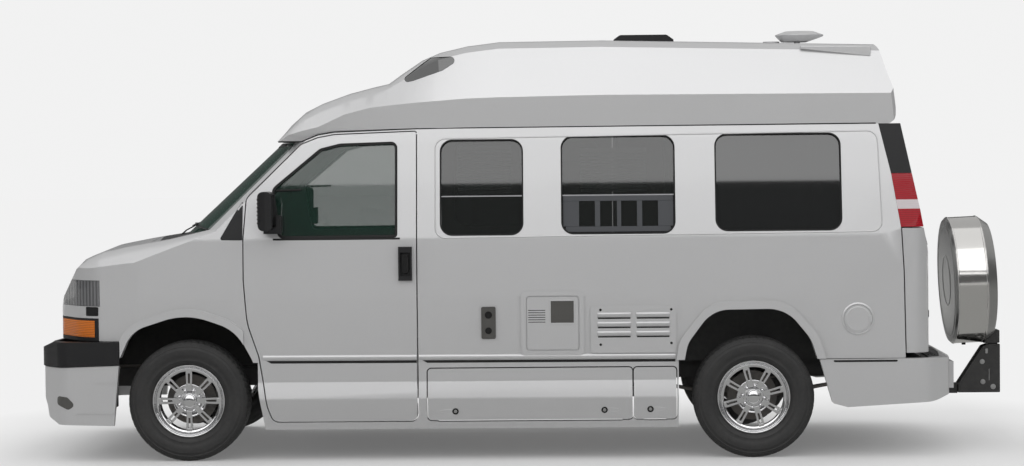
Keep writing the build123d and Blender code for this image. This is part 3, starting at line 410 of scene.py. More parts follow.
# %% [markdown]
# ## Small pieces from lists of points
# Every added piece is worked out as points and faces first, because that is how its real maker would draw
# it: an outline, and a depth. `Shape` collects them, and `make` turns them into one Blender object with
# soft edges. A `place` function says where the outline lies, so the same outline can go on a flank, a
# windscreen or a wheel.

# %% Outlines
def rounded(corners, steps=5):
    """Points round a polygon whose corners are (a, b, radius)."""
    points = []
    for i, (a, b, radius) in enumerate(corners):
        here = Vector((a, b))
        back = (Vector(corners[i - 1][:2]) - here).normalized()
        ahead = (Vector(corners[(i + 1) % len(corners)][:2]) - here).normalized()
        if radius == 0:
            points.append((a, b))
            continue
        half = math.acos(max(-1, min(1, back.dot(ahead)))) / 2
        middle = here + (back + ahead).normalized() * radius / math.sin(half)
        start, end = (here + way * radius / math.tan(half) - middle for way in (back, ahead))
        turn = math.atan2(start.cross(end), start.dot(end))
        for k in range(steps + 1):
            arm = Matrix.Rotation(turn * k / steps, 2) @ start
            points.append(tuple(middle + arm))
    return points


def pane(x0, x1, z0, z1, radius, steps=5):
    """A rectangle with round corners."""
    return rounded([(x0, z0, radius), (x1, z0, radius), (x1, z1, radius), (x0, z1, radius)], steps)


def inset(points, depth):
    """The same outline moved inward by depth, or outward where depth is negative."""
    count = len(points)
    area = sum(points[i - 1][0] * points[i][1] - points[i][0] * points[i - 1][1] for i in range(count))
    side = 1 if area > 0 else -1
    moved = []
    for i in range(count):
        a, b, c = (Vector(points[j % count]) for j in (i - 1, i, i + 1))
        first, second = (b - a).normalized(), (c - b).normalized()
        inward = (Vector((-first.y, first.x)) + Vector((-second.y, second.x))) * side
        inward.normalize()
        moved.append(tuple(b + inward * depth / max(0.5, inward.dot(Vector((-first.y, first.x)) * side))))
    return moved


print("a rounded window has", len(pane(0, 1, 0, 1, 0.1)), "points")

# %% Shapes
class Shape:
    """Points and faces of one piece; each part of it can have its own finish."""

    def __init__(self):
        self.points, self.faces, self.finish = [], [], []

    def add(self, points, faces, finish=0):
        start = len(self.points)
        self.points += [tuple(p) for p in points]
        self.faces += [tuple(start + i for i in face) for face in faces]
        self.finish += [finish] * len(faces)
        return self

    def sweep(self, rings, closed=False, finish=0):
        """A skin over rings of equal count, which closes on itself or ends in two caps."""
        n, count = len(rings[0]), len(rings)
        faces = [(r * n + i, r * n + (i + 1) % n, (r + 1) % count * n + (i + 1) % n, (r + 1) % count * n + i)
                 for r in range(count if closed else count - 1) for i in range(n)]
        if not closed:
            faces += [tuple(range(n - 1, -1, -1)), tuple(range((count - 1) * n, count * n))]
        return self.add([point for ring in rings for point in ring], faces, finish)

    def prism(self, outline, low, high, place, finish=0):
        """A solid between two copies of an outline."""
        return self.sweep([[place(a, b, c) for a, b in outline] for c in (low, high)], False, finish)

    def hoop(self, outer, inner, low, high, place, finish=0):
        """A frame between two outlines of equal count."""
        rows = [(outer, low), (inner, low), (inner, high), (outer, high)]
        return self.sweep([[place(a, b, c) for a, b in outline] for outline, c in rows], True, finish)

    def lathe(self, profile, turns, place, finish=0):
        """A closed profile of (radius, across) turned round an axle."""
        angles = [2 * math.pi * k / turns for k in range(turns)]
        rings = [[place(r * math.cos(t), r * math.sin(t), across) for r, across in profile] for t in angles]
        return self.sweep(rings, True, finish)

    def bar(self, path, half_width, half_height, finish=0, sides=8, up=(0, 0, 1)):
        """A rounded bar along a path of points."""
        path = [Vector(p) for p in path]
        rings = []
        for i, here in enumerate(path):
            along = (path[min(i + 1, len(path) - 1)] - path[max(i - 1, 0)]).normalized()
            across = along.cross(Vector(up)).normalized()
            wide, high = across * half_width, across.cross(along) * half_height
            turns = [2 * math.pi * (k + 0.5) / sides for k in range(sides)]
            rings.append([here + wide * math.cos(t) + high * math.sin(t) for t in turns])
        return self.sweep(rings, False, finish)


def make(name, shape, finishes, body="van_body", edge=0.0, angle=35):
    """Turn a shape into an object that rides on a body; edge is the width of its softened edges."""
    mesh = bpy.data.meshes.new(name)
    mesh.from_pydata(shape.points, [], shape.faces)
    for finish in finishes:
        mesh.materials.append(finish)
    for polygon, index in zip(mesh.polygons, shape.finish):
        polygon.material_index = index
    work = bmesh.new()
    work.from_mesh(mesh)
    bmesh.ops.remove_doubles(work, verts=work.verts, dist=1e-6)
    bmesh.ops.recalc_face_normals(work, faces=work.faces)
    work.to_mesh(mesh)
    work.free()
    mesh.shade_smooth()
    mesh.set_sharp_from_angle(angle=math.radians(angle))
    made = bpy.data.objects.new(name, mesh)
    bpy.context.scene.collection.objects.link(made)
    if edge:
        soft = made.modifiers.new("edge", "BEVEL")
        soft.width, soft.segments, soft.limit_method, soft.angle_limit = edge, 2, "ANGLE", math.radians(38)
    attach(made, body)
    return made


print("shape helpers ready")

# %% [markdown]
# The flank of the van leans in above the belt and bulges over the sills, and it draws in a little toward
# the tail. Two short tables give its half width at a height and at a station. The windscreen and the tail
# are found the same way.

# %% Where the outer skin lies
def between(table, value):
    """Read a table of (value, result) in a straight line between its rows."""
    value = min(max(value, table[0][0]), table[-1][0])
    for (v0, r0), (v1, r1) in zip(table, table[1:]):
        if value <= v1:
            return r0 + (r1 - r0) * (value - v0) / (v1 - v0)


FLANK = [(0.190, 0.965), (0.373, 1.018), (0.480, 0.997), (0.600, 1.001), (0.700, 1.004), (0.985, 1.010),
         (1.345, 0.996), (1.930, 0.899), (2.014, 0.884)]        # height, half width
TAPER = [(3.600, 1.016), (4.488, 0.986)]                        # station, half width
TAIL = [(1.130, 4.515), (1.400, 4.452), (2.000, 4.330)]         # height, station
TAIL_BOW = [(0.420, 4.512), (0.956, 4.488)]                     # distance from the middle, station
BESIDE = 1.6                                                    # rays start here, outside the mirrors
SCREEN_FOOT, SCREEN_HEAD, SCREEN_DROP = Vector((-0.118, 1.367)), Vector((0.509, 1.945)), 0.172


def flank(side):
    """Outlines of (station, height) on a side wall; the third number is how far they stand out."""
    def place(a, b, c):
        return station(a), side * (min(between(FLANK, b), between(TAPER, a)) + c), b
    return place


def upright(side, distance=0.0):
    """Outlines of (station, height) on an upright plane beside the middle; the third number moves it outward."""
    def place(a, b, c):
        return station(a), side * (distance + c), b
    return place


def tail(a, b, c):
    """Outlines of (y, height) on the rear doors."""
    return station(min(between(TAIL, b), between(TAIL_BOW, abs(a))) + c), a, b


def screen(a, b, c):
    """Outlines of (y, height) on the windscreen, which bows backward toward its sides."""
    run = (SCREEN_HEAD - SCREEN_FOOT).normalized()
    up = Vector((-run.y, run.x))
    fall = SCREEN_DROP * (a / 0.95) ** 2 - c
    t = (b - SCREEN_FOOT.y + up.y * fall) / run.y
    return station(SCREEN_FOOT.x + t * run.x - up.x * fall), a, b


def skin_of(*names):
    """The outer faces of some solids, ready for rays."""
    points, faces = [], []
    for name in names:
        mesh = nodes[name].data
        start = len(points)
        points += [v.co.copy() for v in mesh.vertices]
        faces += [tuple(start + i for i in p.vertices) for p in mesh.polygons]
    return BVHTree.FromPolygons(points, faces)


def laid(name, outline, skin, side, finish, proud=0.003, thick=0.008, fine=0.03):
    """A thin cover in the shape of an outline that follows the skin of one side of the van."""
    inward = Vector((0, -side, 0))
    work = bmesh.new()
    work.faces.new([work.verts.new((a, b, 0)) for a, b in outline])
    bmesh.ops.triangulate(work, faces=work.faces)
    for _ in range(4):
        long = [e for e in work.edges if e.calc_length() > fine]
        if long:
            bmesh.ops.subdivide_edges(work, edges=long, cuts=1)
            bmesh.ops.triangulate(work, faces=work.faces)
    lost = []
    for vertex in work.verts:
        hit = skin.ray_cast(Vector((station(vertex.co.x), side * BESIDE, vertex.co.y)), inward)[0]
        if hit:
            vertex.co = hit - inward * proud
        else:
            lost.append(vertex)
    bmesh.ops.delete(work, geom=lost, context="VERTS")
    work.verts.index_update()
    front = [v.co.copy() for v in work.verts]
    faces = [[v.index for v in f.verts] for f in work.faces]
    rim_edges = [[v.index for v in e.verts] for e in work.edges if len(e.link_faces) == 1]
    work.free()
    n = len(front)
    walls = [(a, b, n + b, n + a) for a, b in rim_edges]
    shape = Shape().add(front + [p + inward * thick for p in front],
                        faces + [[n + i for i in reversed(face)] for face in faces] + walls)
    return make(name, shape, [finish])


near, far = flank(NEAR), flank(FAR_SIDE)
print("half width at the belt", round(between(FLANK, 1.345), 3))

# %% [markdown]
# ## Wheels
# Each wheel is cast and chromed, with eight spokes, and each spoke is two bars with a slot between them. A
# cast rim is turned on a lathe, so its barrel and lips are one profile swung round the axle, and the spokes
# are added as frames round their slots. The tyre is swung the same way, and its tread blocks come from
# pulling in every point that lies in a groove.

# %% Wheel places
WHEELS = dict(zip(CORNERS, ((NEAR, 90), (FAR_SIDE, 90), (NEAR, 105), (FAR_SIDE, 105))))       # side, turn
SPOKES = 8


def on_wheel(label, turn=0.0):
    """Places on a wheel: two lengths in its face, and the distance outward from its middle."""
    hub, side = centre("tyre_" + label), WHEELS[label][0]
    spin = Matrix.Rotation(math.radians(turn), 2)

    def place(a, b, c):
        u, w = spin @ Vector((a, b))
        return hub.x + u, hub.y + side * c, hub.z + w
    return place


# %% Rims
RIM = [(0.221, 0.089), (0.214, 0.089), (0.2105, 0.086), (0.2085, 0.079), (0.2045, 0.077), (0.2025, 0.070),
       (0.1995, 0.070), (0.198, 0.0755), (0.186, 0.0745), (0.1805, 0.070), (0.1785, 0.060), (0.181, 0.050),
       (0.190, 0.030), (0.192, -0.060), (0.207, -0.089), (0.221, -0.089), (0.221, -0.084), (0.2035, -0.076),
       (0.2035, 0.074), (0.221, 0.084)]
HUB = [(0.0, 0.052), (0.060, 0.052), (0.088, 0.049), (0.097, 0.052), (0.1015, 0.050), (0.1035, 0.044),
       (0.1035, 0.036), (0.0, 0.036)]
CAP = [(0.0, 0.0835), (0.012, 0.083), (0.024, 0.081), (0.033, 0.077), (0.037, 0.0735), (0.040, 0.0745),
       (0.043, 0.0745), (0.0455, 0.071), (0.0465, 0.050), (0.0, 0.050)]
NUT = [(0.0, 0.076), (0.005, 0.0755), (0.0085, 0.073), (0.0095, 0.069), (0.0105, 0.060), (0.013, 0.0575),
       (0.013, 0.050), (0.0, 0.050)]


def wedge(a0, a1, narrow, wide, r0, r1):
    """A bar that widens from one end to the other, with round corners."""
    return rounded([(a0, -narrow, r0), (a1, -wide, r1), (a1, wide, r1), (a0, narrow, r0)], 3)


def rim(label):
    shape = Shape()
    place = on_wheel(label)
    shape.lathe(RIM, 96, place)
    shape.lathe(HUB, 64, place)
    shape.lathe(CAP, 40, place)
    for k in range(SPOKES):
        turned = on_wheel(label, WHEELS[label][1] + k * 360 / SPOKES)
        spoke = wedge(0.060, 0.186, 0.0165, 0.0205, 0.004, 0.004)
        shape.hoop(spoke, wedge(0.104, 0.166, 0.0055, 0.0065, 0.003, 0.003), 0.044, 0.069, turned)
        shape.prism(wedge(0.168, 0.196, 0.015, 0.019, 0.004, 0.003), 0.060, 0.0745, turned)
        nut_place = on_wheel(label, WHEELS[label][1] + (k + 0.5) * 360 / SPOKES)
        shape.lathe(NUT, 12, lambda a, b, c: nut_place(a + 0.066, b, c))
    made = make("chrome_rim_" + label, shape, [chrome], "wheel_" + label, edge=0.0022)
    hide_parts("rim_" + label)
    return made


for label in WHEELS:
    made = rim(label)
    print(made.name, len(made.data.polygons), "faces")

# %% Tyres
TREAD = [0.0, 0.010, 0.012, 0.030, 0.032, 0.040, 0.042, 0.062, 0.064, 0.072, 0.074, 0.080]    # across, in metres
GROOVES = [(0.031, 0.041), (0.063, 0.073)]
WALL = [(0.3645, 0.085), (0.360, 0.092), (0.352, 0.0985), (0.346, 0.1005), (0.344, 0.1045), (0.334, 0.1085),
        (0.331, 0.1075), (0.318, 0.1105), (0.316, 0.1117), (0.300, 0.1124), (0.278, 0.1115), (0.275, 0.1100),
        (0.255, 0.1065), (0.250, 0.1075), (0.238, 0.1020), (0.229, 0.0965), (0.225, 0.0900),
        (0.2215, 0.0840), (0.2035, 0.0750)]
TURNS = 270
TREAD_DEPTH, SHOULDER_CUT = 0.007, 0.004


def tyre(label):
    place = on_wheel(label)
    crown = sorted({s * a for a in TREAD for s in (-1, 1)})
    rings = [(r, -a) for r, a in reversed(WALL)] + [(None, a) for a in crown] + WALL
    rounds = []
    for k in range(TURNS):
        t = 2 * math.pi * k / TURNS
        points = []
        for r, across in rings:
            if r is None:
                rib = sum(abs(across) > groove for groove in (0.011, 0.036, 0.068))
                straight = any(low < abs(across) < high for low, high in GROOVES)
                slit = (k + 2 * rib + (1 if across > 0 else 0)) % 5 == 0
                r = 0.366 - 0.0015 * (abs(across) / 0.08) ** 2 - TREAD_DEPTH * (straight or slit)
            elif r > 0.345 and k % 5 == 0:
                r -= SHOULDER_CUT
            points.append(place(r * math.cos(t), r * math.sin(t), across))
        rounds.append(points)
    made = make("rubber_tyre_" + label, Shape().sweep(rounds, True), [rubber], "wheel_" + label, angle=28)
    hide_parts("tyre_" + label)
    return made


for label in WHEELS:
    made = tyre(label)
    print(made.name, len(made.data.polygons), "faces")

# %% [markdown]
# ## Windows in the flanks
# The cabin windows are flat tinted panes glued into the steel from inside. A black rubber seal closes the
# step between the pane and the skin, and on the driver's side a thin aluminium bar crosses each pane where
# its lower part slides. Behind the first two hang slatted blinds, and the lower part of the second one is a
# frame with four vents. A seal is a hoop between the opening's outline and the same outline moved inward.

# %% Window seals and bars
WINDOWS = [(NEAR, 1.541, 2.047, 1.358, 1.940, "van_body"), (NEAR, 2.274, 2.964, 1.360, 1.957, "van_body"),
           (NEAR, 3.203, 3.966, 1.370, 1.960, "van_body"), (FAR_SIDE, 3.203, 3.966, 1.370, 1.960, "van_body"),
           (FAR_SIDE, 1.541, 2.047, 1.358, 1.940, "side_leaf_front"),
           (FAR_SIDE, 2.225, 2.520, 1.358, 1.940, "side_leaf_rear")]
BAR_Z = 1.592
for number, (side, x0, x1, z0, z1, body) in enumerate(WINDOWS):
    opening = pane(x0, x1, z0, z1, 0.075)
    seam = Shape().hoop(inset(opening, 0.0005), inset(opening, 0.009), -0.0175, -0.001, flank(side))
    make(f"window_seal_{number}", seam, [seal], body, edge=0.002)
    if number != 2:
        edge = pane(x0 + 0.009, x1 - 0.009, BAR_Z, BAR_Z + 0.007, 0.002)
        make(f"window_bar_{number}", Shape().prism(edge, -0.018, -0.0145, flank(side)), [bar_alloy], body)
print("window seals", len(WINDOWS))

# %% Blinds and the vented frame
SLAT_PITCH = 0.021


def blind(name, x0, x1, z0, z1):
    slats = Shape()
    count = int((z1 - z0) / SLAT_PITCH)
    for k in range(count):
        z = z0 + (k + 0.5) * (z1 - z0) / count
        lower = [near(x0, z - 0.0075, -0.062), near(x1, z - 0.0075, -0.062)]
        upper = [near(x1, z + 0.0075, -0.080), near(x0, z + 0.0075, -0.080)]
        back = [Vector(p) + Vector((0, 0.0012, 0.0004)) for p in lower + upper]
        slats.sweep([lower + upper, back])
    for x in (x0 + 0.05, x1 - 0.05):
        slats.bar([near(x, z0 - 0.01, -0.058), near(x, z1 + 0.01, -0.058)], 0.0015, 0.0015, 0, 6, (0, 1, 0))
    slats.prism(pane(x0, x1, z1, z1 + 0.03, 0.006), -0.092, -0.054, near)
    make(name, slats, [blind_slats])


blind("blind_front", 1.647, 1.972, 1.605, 1.870)
blind("blind_middle", 2.392, 2.794, 1.612, 1.850)
vents = Shape()
UPRIGHTS = [(x0, x1, 1.407, 1.560, 0.003)
            for x0, x1 in ((2.286, 2.383), (2.478, 2.510), (2.611, 2.637), (2.732, 2.764), (2.859, 2.952))]
CROSSBARS = [(2.286, 2.952, 1.560, BAR_Z - 0.001, 0.002), (2.300, 2.938, 1.374, 1.407, 0.010)]
for piece in UPRIGHTS + CROSSBARS:
    vents.prism(pane(*piece), -0.0176, -0.0135, near)
make("vented_frame", vents, [vent_grey], edge=0.0015)
print("blinds and vents ready")

# %% [markdown]
# ## Door windows, the windscreen and the seam
# The cab doors have black rubber round their glass. Where the moulded roof sits on the steel body there is
# a sealed joint, and it shows as a thin dark line from the windscreen to the tail.

# %% Rubber round the cab glass
DOOR_WINDOW = rounded([(0.560, 1.350, 0.040), (0.518, 1.650, 0.060), (0.812, 1.893, 0.060), (0.935, 1.923, 0.120),
                       (1.285, 1.932, 0.040), (1.285, 1.352, 0.020)])
for side, body in ((NEAR, "driver_door"), (FAR_SIDE, "passenger_door")):
    ring = Shape().hoop(inset(DOOR_WINDOW, 0.0005), inset(DOOR_WINDOW, 0.016), -0.0175, -0.002, flank(side))
    ring.prism(pane(0.530, 1.300, 1.340, 1.352, 0.003, 2), -0.010, 0.002, flank(side))
    ring.bar([flank(side)(x, 1.640 + (x - 0.528) * 0.02, -0.012) for x in (0.545, 0.700)], 0.004, 0.008)
    make(f"door_rubber_{body}", ring, [seal], body, edge=0.0015)
SCREEN_EDGE = [(-0.880, 1.347, 0.070), (0.880, 1.347, 0.070), (0.796, 1.930, 0.080), (-0.796, 1.930, 0.080)]


def split_long(points, longest=0.08):
    """Extra points on the straight runs, so that a frame can follow a bowed pane."""
    out = []
    for i, p in enumerate(points):
        q = points[(i + 1) % len(points)]
        count = max(1, math.ceil((Vector(q) - Vector(p)).length / longest))
        out += [tuple(Vector(p).lerp(Vector(q), k / count)) for k in range(count)]
    return out


edge_points = split_long(rounded(SCREEN_EDGE, 8))
band = Shape().hoop(inset(edge_points, 0.0035), inset(edge_points, 0.026), -0.004, -0.0008, screen)
make("windscreen_rubber", band, [seal])
print("cab rubber ready")

# %% Seam under the roof
SEAM = [(0.560, 1.936), (0.700, 1.936), (0.800, 1.976), (0.900, 1.992), (1.400, 2.008), (1.600, 2.010),
        (2.600, 2.012), (3.600, 2.013), (4.180, 2.0137)]
for side, label in SIDES:
    joint = Shape().bar([flank(side)(x, z, 0.0) for x, z in SEAM], 0.0035, 0.0045, 0, 6)
    make(f"roof_joint_{label}", joint, [seal])
print("roof joint ready")

# %% [markdown]
# ## Pressed lines and mouldings
# A raised bead frames the windows, and a rubbing strip runs low on the doors, with a dark groove under it. The
# groove is not cut but drawn as a flat black band, which is painted shade. The bead and the strip are only a few
# millimetres proud, but they catch the light along the whole van, so they are modelled rather than painted.

# %% Bead and rubbing strip
def bead(name, path, side, width, height, finish, body="van_body"):
    place = flank(side)
    make(name, Shape().bar([place(a, b, 0.0) for a, b in path], height, width, 0, 8), [finish], body, angle=60)


for side, label, first in ((NEAR, "near", 1.513), (FAR_SIDE, "far", 3.160)):
    frame_line = rounded([(first, 1.346, 0.06), (4.205, 1.364, 0.06), (4.185, 1.969, 0.06), (first, 1.945, 0.06)])
    path = split_long(frame_line, 0.15)
    bead(f"window_bead_{label}", path + path[:1], side, 0.005, 0.003, steel_paint)

STRIP = [(0.612, 0.0), (0.616, 0.006), (0.624, 0.010), (0.634, 0.0105), (0.642, 0.007), (0.647, 0.0)]


def strip(name, x0, x1, side, body, rise=-0.006):
    """Rubbing strip between two stations, with a flat black band below it that is painted shade of its groove.
    STRIP is (height, how far out).
    """
    place = flank(side)
    count = max(2, int((x1 - x0) / 0.25) + 1)
    shape = Shape()
    stations = [x0 + (x1 - x0) * k / (count - 1) for k in range(count)]
    lean = [rise * (x - 0.457) / 2.5 for x in stations]
    shape.sweep([[place(x, z + dz, out - 0.002) for z, out in STRIP] for x, dz in zip(stations, lean)])
    # The groove is a flat black band: painted shade under the strip.
    groove = [(x0 + 0.05, 0.595), (x1, 0.595), (x1, 0.611), (x0 + 0.02, 0.611)]
    shape.prism([(x, z + rise * (x - 0.457) / 2.5) for x, z in groove], -0.001, 0.0012, place, 1)
    make(name, shape, [steel_paint, seal], body, angle=50)


strip("strip_driver_door", 0.462, 1.394, NEAR, "driver_door")
strip("strip_near_side", 1.408, 2.955, NEAR, "van_body")
strip("strip_passenger_door", 0.462, 1.394, FAR_SIDE, "passenger_door")
print("mouldings ready")

# %% [markdown]
# ## Hatches on the driver's side
# Behind the door are the openings of the living part: a socket box for mains and water, a hatch with louvres and
# a square latch well, and the fridge vent with six pressed hoods. The louvre slots and the slots under the hoods
# are thin black strips, which are painted shade. Below them the storage lids close with two round locks, each at
# the end of a shallow finger scoop.

# %% Hoods, louvres and locks
def disc(shape, x, z, radius, low, high, side=NEAR, finish=0, turns=24):
    """A flat button on the flank with a softened edge."""
    place = flank(side)
    lip = min(0.002, (high - low) / 2)
    profile = [(0.0, low), (radius, low), (radius, high - lip), (radius - lip, high), (0.0, high)]
    shape.lathe(profile, turns, lambda a, b, c: place(x + a, z + b, c), finish)


hoods = Shape()
# from the top of a hood downward: (drop, how far out); SKIN is where the vent's plate lies
SKIN = 0.0085
HOOD = [(0.0, 0.0095), (0.004, 0.0165), (0.012, 0.019), (0.022, 0.017), (0.031, 0.010), (0.033, 0.0085)]
for x0, x1 in ((2.486, 2.690), (2.720, 2.924)):
    for z in (0.742, 0.798, 0.854):
        rings = []
        for x, swell in ((x0, 0.35), (x0 + 0.010, 1.0), (x1 - 0.010, 1.0), (x1, 0.35)):
            heights = [(z + 0.036 - drop * 0.9, SKIN + (out - SKIN) * swell) for drop, out in HOOD]
            rings.append([near(x, *spot) for spot in heights]
                         + [near(x, h, SKIN - 0.002) for h, _ in reversed(heights)])
        hoods.sweep(rings)
        # The black strip under each hood is painted shade: it stands for the dark slot behind the hood.
        hoods.prism(pane(x0 + 0.004, x1 - 0.004, z - 0.004, z + 0.004, 0), 0.004, 0.0095, near, 1)
for x, z in ((2.506, 0.695), (2.932, 0.702), (2.506, 0.905), (2.932, 0.905)):
    disc(hoods, x, z, 0.0085, 0.005, 0.0105, finish=1, turns=16)
make("fridge_hoods", hoods, [steel_paint, seal], angle=50)

hatch = Shape()
well = pane(2.200, 2.352, 0.822, 0.968, 0.008)
hatch.hoop(well, inset(well, 0.007), 0.004, 0.0105, near)
hatch.prism(inset(well, 0.006), 0.003, 0.0086, near, 1)
hatch.prism(pane(2.222, 2.330, 0.842, 0.872, 0.008), 0.006, 0.0098, near, 1)
# The six black strips are painted shade: they stand for the shade in the louvre slots.
for k in range(6):
    z = 0.832 + k * 0.0142
    hatch.prism(pane(2.070, 2.174, z, z + 0.0045, 0.002), 0.005, 0.0088, near, 2)
make("hatch_details", hatch, [steel_paint, well_grey, seal], "service_lid", edge=0.001)

socket = Shape()
box_edge = pane(1.789, 1.872, 0.737, 0.927, 0.008)
socket.hoop(box_edge, inset(box_edge, 0.008), 0.008, 0.0125, near)
socket.prism(inset(box_edge, 0.007), 0.006, 0.0104, near)
for z, r in ((0.880, 0.022), (0.785, 0.020)):
    ring = [(r, 0.009), (r, 0.0145), (r - 0.004, 0.0145), (r - 0.005, 0.011), (0.0, 0.011), (0.0, 0.009)]
    socket.lathe(ring, 28, lambda a, b, c: near(1.8305 + a, z + b, c), 1)
make("socket_box", socket, [well_grey, smooth_black], edge=0.0008)
print("hatch details ready")

# %% Locks, scoops and the fuel flap
SCOOP, SCOOP_HEIGHT, SCOOP_STEPS = 0.098, 0.019, 16
for number, (x, z, way, body) in enumerate([(1.625, 0.296, -1, "long_lid"), (2.526, 0.299, 1, "long_lid"),
                                            (2.803, 0.302, 1, "small_lid")]):
    lock = Shape()
    disc(lock, x, z, 0.0195, -0.004, 0.004)
    disc(lock, x, z, 0.010, 0.003, 0.0055, finish=1)
    turns = [k / SCOOP_STEPS for k in range(SCOOP_STEPS + 1)]
    drop = [(x + way * SCOOP * (1 - math.cos(math.pi * t)) / 2,
             SCOOP_HEIGHT * math.sin(math.pi * t) ** 0.7 * (1 - 0.75 * t)) for t in turns]
    outline = drop + [(a, -b) for a, b in reversed(drop[1:-1])]
    edge_line = [near(a, z + b, 0.0008) for a, b in outline]
    floor_line = [near(x + (a - x) * 0.82 + way * 0.004, z + b * 0.62, -0.0015) for a, b in outline]
    crest = [near(a, z + b * 1.18, -0.0005) for a, b in outline]
    m = len(outline)
    scoop = Shape().add(crest + edge_line + floor_line,
                        [(i, (i + 1) % m, m + (i + 1) % m, m + i) for i in range(m)]
                        + [(m + i, m + (i + 1) % m, 2 * m + (i + 1) % m, 2 * m + i) for i in range(m)]
                        + [tuple(range(3 * m - 1, 2 * m - 1, -1)), tuple(range(m))])
    make(f"finger_scoop_{number}", scoop, [steel_paint], body, angle=50)
    make(f"lid_lock_{number}", lock, [smooth_black, plain_steel], body)

fuel = Shape()
FUEL_X, FUEL_Z = 4.054, 0.838
ring = [(0.084, -0.002), (0.099, -0.002), (0.098, 0.003), (0.094, 0.0055), (0.088, 0.0055), (0.085, 0.003)]
fuel.lathe(ring, 64, lambda a, b, c: near(FUEL_X + a, FUEL_Z + b, c))
make("fuel_ring", fuel, [steel_paint])
flap = Shape()
disc(flap, FUEL_X, FUEL_Z, 0.074, 0.003, 0.0072, turns=64)
flap.prism(pane(FUEL_X + 0.062, FUEL_X + 0.084, FUEL_Z - 0.020, FUEL_Z + 0.020, 0.004), 0.003, 0.0085, near)
make("fuel_flap_face", flap, [steel_paint], "fuel_lid", edge=0.001)
print("locks and fuel flap ready")

# %% [markdown]
# ## Finishes that change within one solid
# Some solids are one moulding in life but two colours, such as a lens with a clear band. `assign` gives a
# second finish to the faces that pass a test on their place.

# %% Second finishes
def assign(name, material, test):
    mesh = nodes[name].data
    mesh.materials.append(material)
    index = len(mesh.materials) - 1
    chosen = [p for p in mesh.polygons if test(p.center, p.normal)]
    for polygon in chosen:
        polygon.material_index = index
    return len(chosen)


steering = Vector((station(0.56), -0.43, 1.30))
print("amber", assign("front_lamps", amber_lens, lambda c, n: c.z < 0.9),
      "blind panes", assign("body_glass", blind_glass, lambda c, n: station(1.2) < c.x < station(3.0)),
      "cabin panes", assign("body_glass", cabin_glass, lambda c, n: c.x > station(3.0)),
      "cover face", assign("spare_cover", face_steel, lambda c, n: abs(n.x) > 0.45),
      "sockets", assign("service_panels", well_grey, lambda c, n: c.x < station(1.95)),
      "signal bezels", assign("grille", grained, lambda c, n: abs(c.y) > 0.572),
      "steering wheel", assign("dashboard", smooth_black, lambda c, n: (c - steering).length < 0.24))

# %% [markdown]
# ## The nose
# The head lamps are smoked glass with fine upright flutes. The flutes are a bump, and their light and dark
# stripes in the lens colour are painted glints of the reflectors behind the glass. The small marker lamp behind
# the silver bar and the two creases of the air dam are shapes; the fog lamp's hollow is a thin dark grey patch
# that stands for the shade in it, which is painted shade. They follow a nose that curves both ways, so each is
# laid on it with rays.

# %% Marker and fog lamps
nose_skin = skin_of("nose_shell", "front_lamps", "grille", "bonnet")
dam_skin = skin_of("air_dam")
FOG_HOLLOW_SHADE = [(-0.815, 0.350, 0.02), (-0.735, 0.318, 0.02), (-0.690, 0.345, 0.02), (-0.740, 0.395, 0.02),
       (-0.812, 0.402, 0.02)]
MARKER = pane(-0.628, -0.546, 0.888, 0.943, 0.006, 3)
CREASES = [(-0.575, 0.480, -0.430, 0.484), (-0.680, 0.292, -0.455, 0.301)]
for side, label in SIDES:
    laid(f"marker_lamp_{label}", MARKER, nose_skin, side, smooth_black, fine=0.02)
    # The fog hollow is not cut: a thin dark grey patch laid on the air dam stands for its shade, painted shade.
    laid(f"fog_hollow_shade_{label}", rounded(FOG_HOLLOW_SHADE, 3), dam_skin, side, well_grey, 0.001, 0.004, 0.02)
    for k, (x0, z0, x1, z1) in enumerate(CREASES):
        crease = [(x0, z0), (x1, z1 - 0.006), (x1, z1 + 0.006)]
        laid(f"dam_crease_{label}_{k}", crease, dam_skin, side, steel_paint, 0.004, 0.010)
print("nose details ready")

# %% [markdown]
# ## Wipers
# Two arms lie on the foot of the windscreen, each with a rubber blade.

# %% Arms and blades
WIPERS = [((-0.30, 1.352), (-0.52, 1.430), (-0.86, 1.405), (-0.30, 1.432)),      # pivot, tip, ends of the blade
          ((0.42, 1.352), (0.16, 1.432), (-0.20, 1.412), (0.40, 1.436))]
for number, (pivot, tip, foot, head) in enumerate(WIPERS):
    wiper = Shape()
    middle = (Vector(pivot) + Vector(tip)) / 2
    arm = [(pivot, 0.004), (pivot, 0.022), (middle, 0.026), (tip, 0.016)]
    wiper.bar([screen(*spot, out) for spot, out in arm], 0.006, 0.004)
    steps = [(foot[0] + (head[0] - foot[0]) * k / 6, foot[1] + (head[1] - foot[1]) * k / 6) for k in range(7)]
    wiper.bar([screen(a, b, 0.012) for a, b in steps], 0.005, 0.004)
    wiper.bar([screen(a, b, 0.006) for a, b in steps], 0.002, 0.005)
    make(f"wiper_{number}", wiper, [smooth_black])
print("wipers ready")

# %% [markdown]
# ## Doors
# The mirror's housing has moulded ribs and its glass sits in the rear. The corner of the door under it is
# closed by a black triangle. A lock barrel and a paddle sit in each pull handle, and the side door has a
# handle of its own.

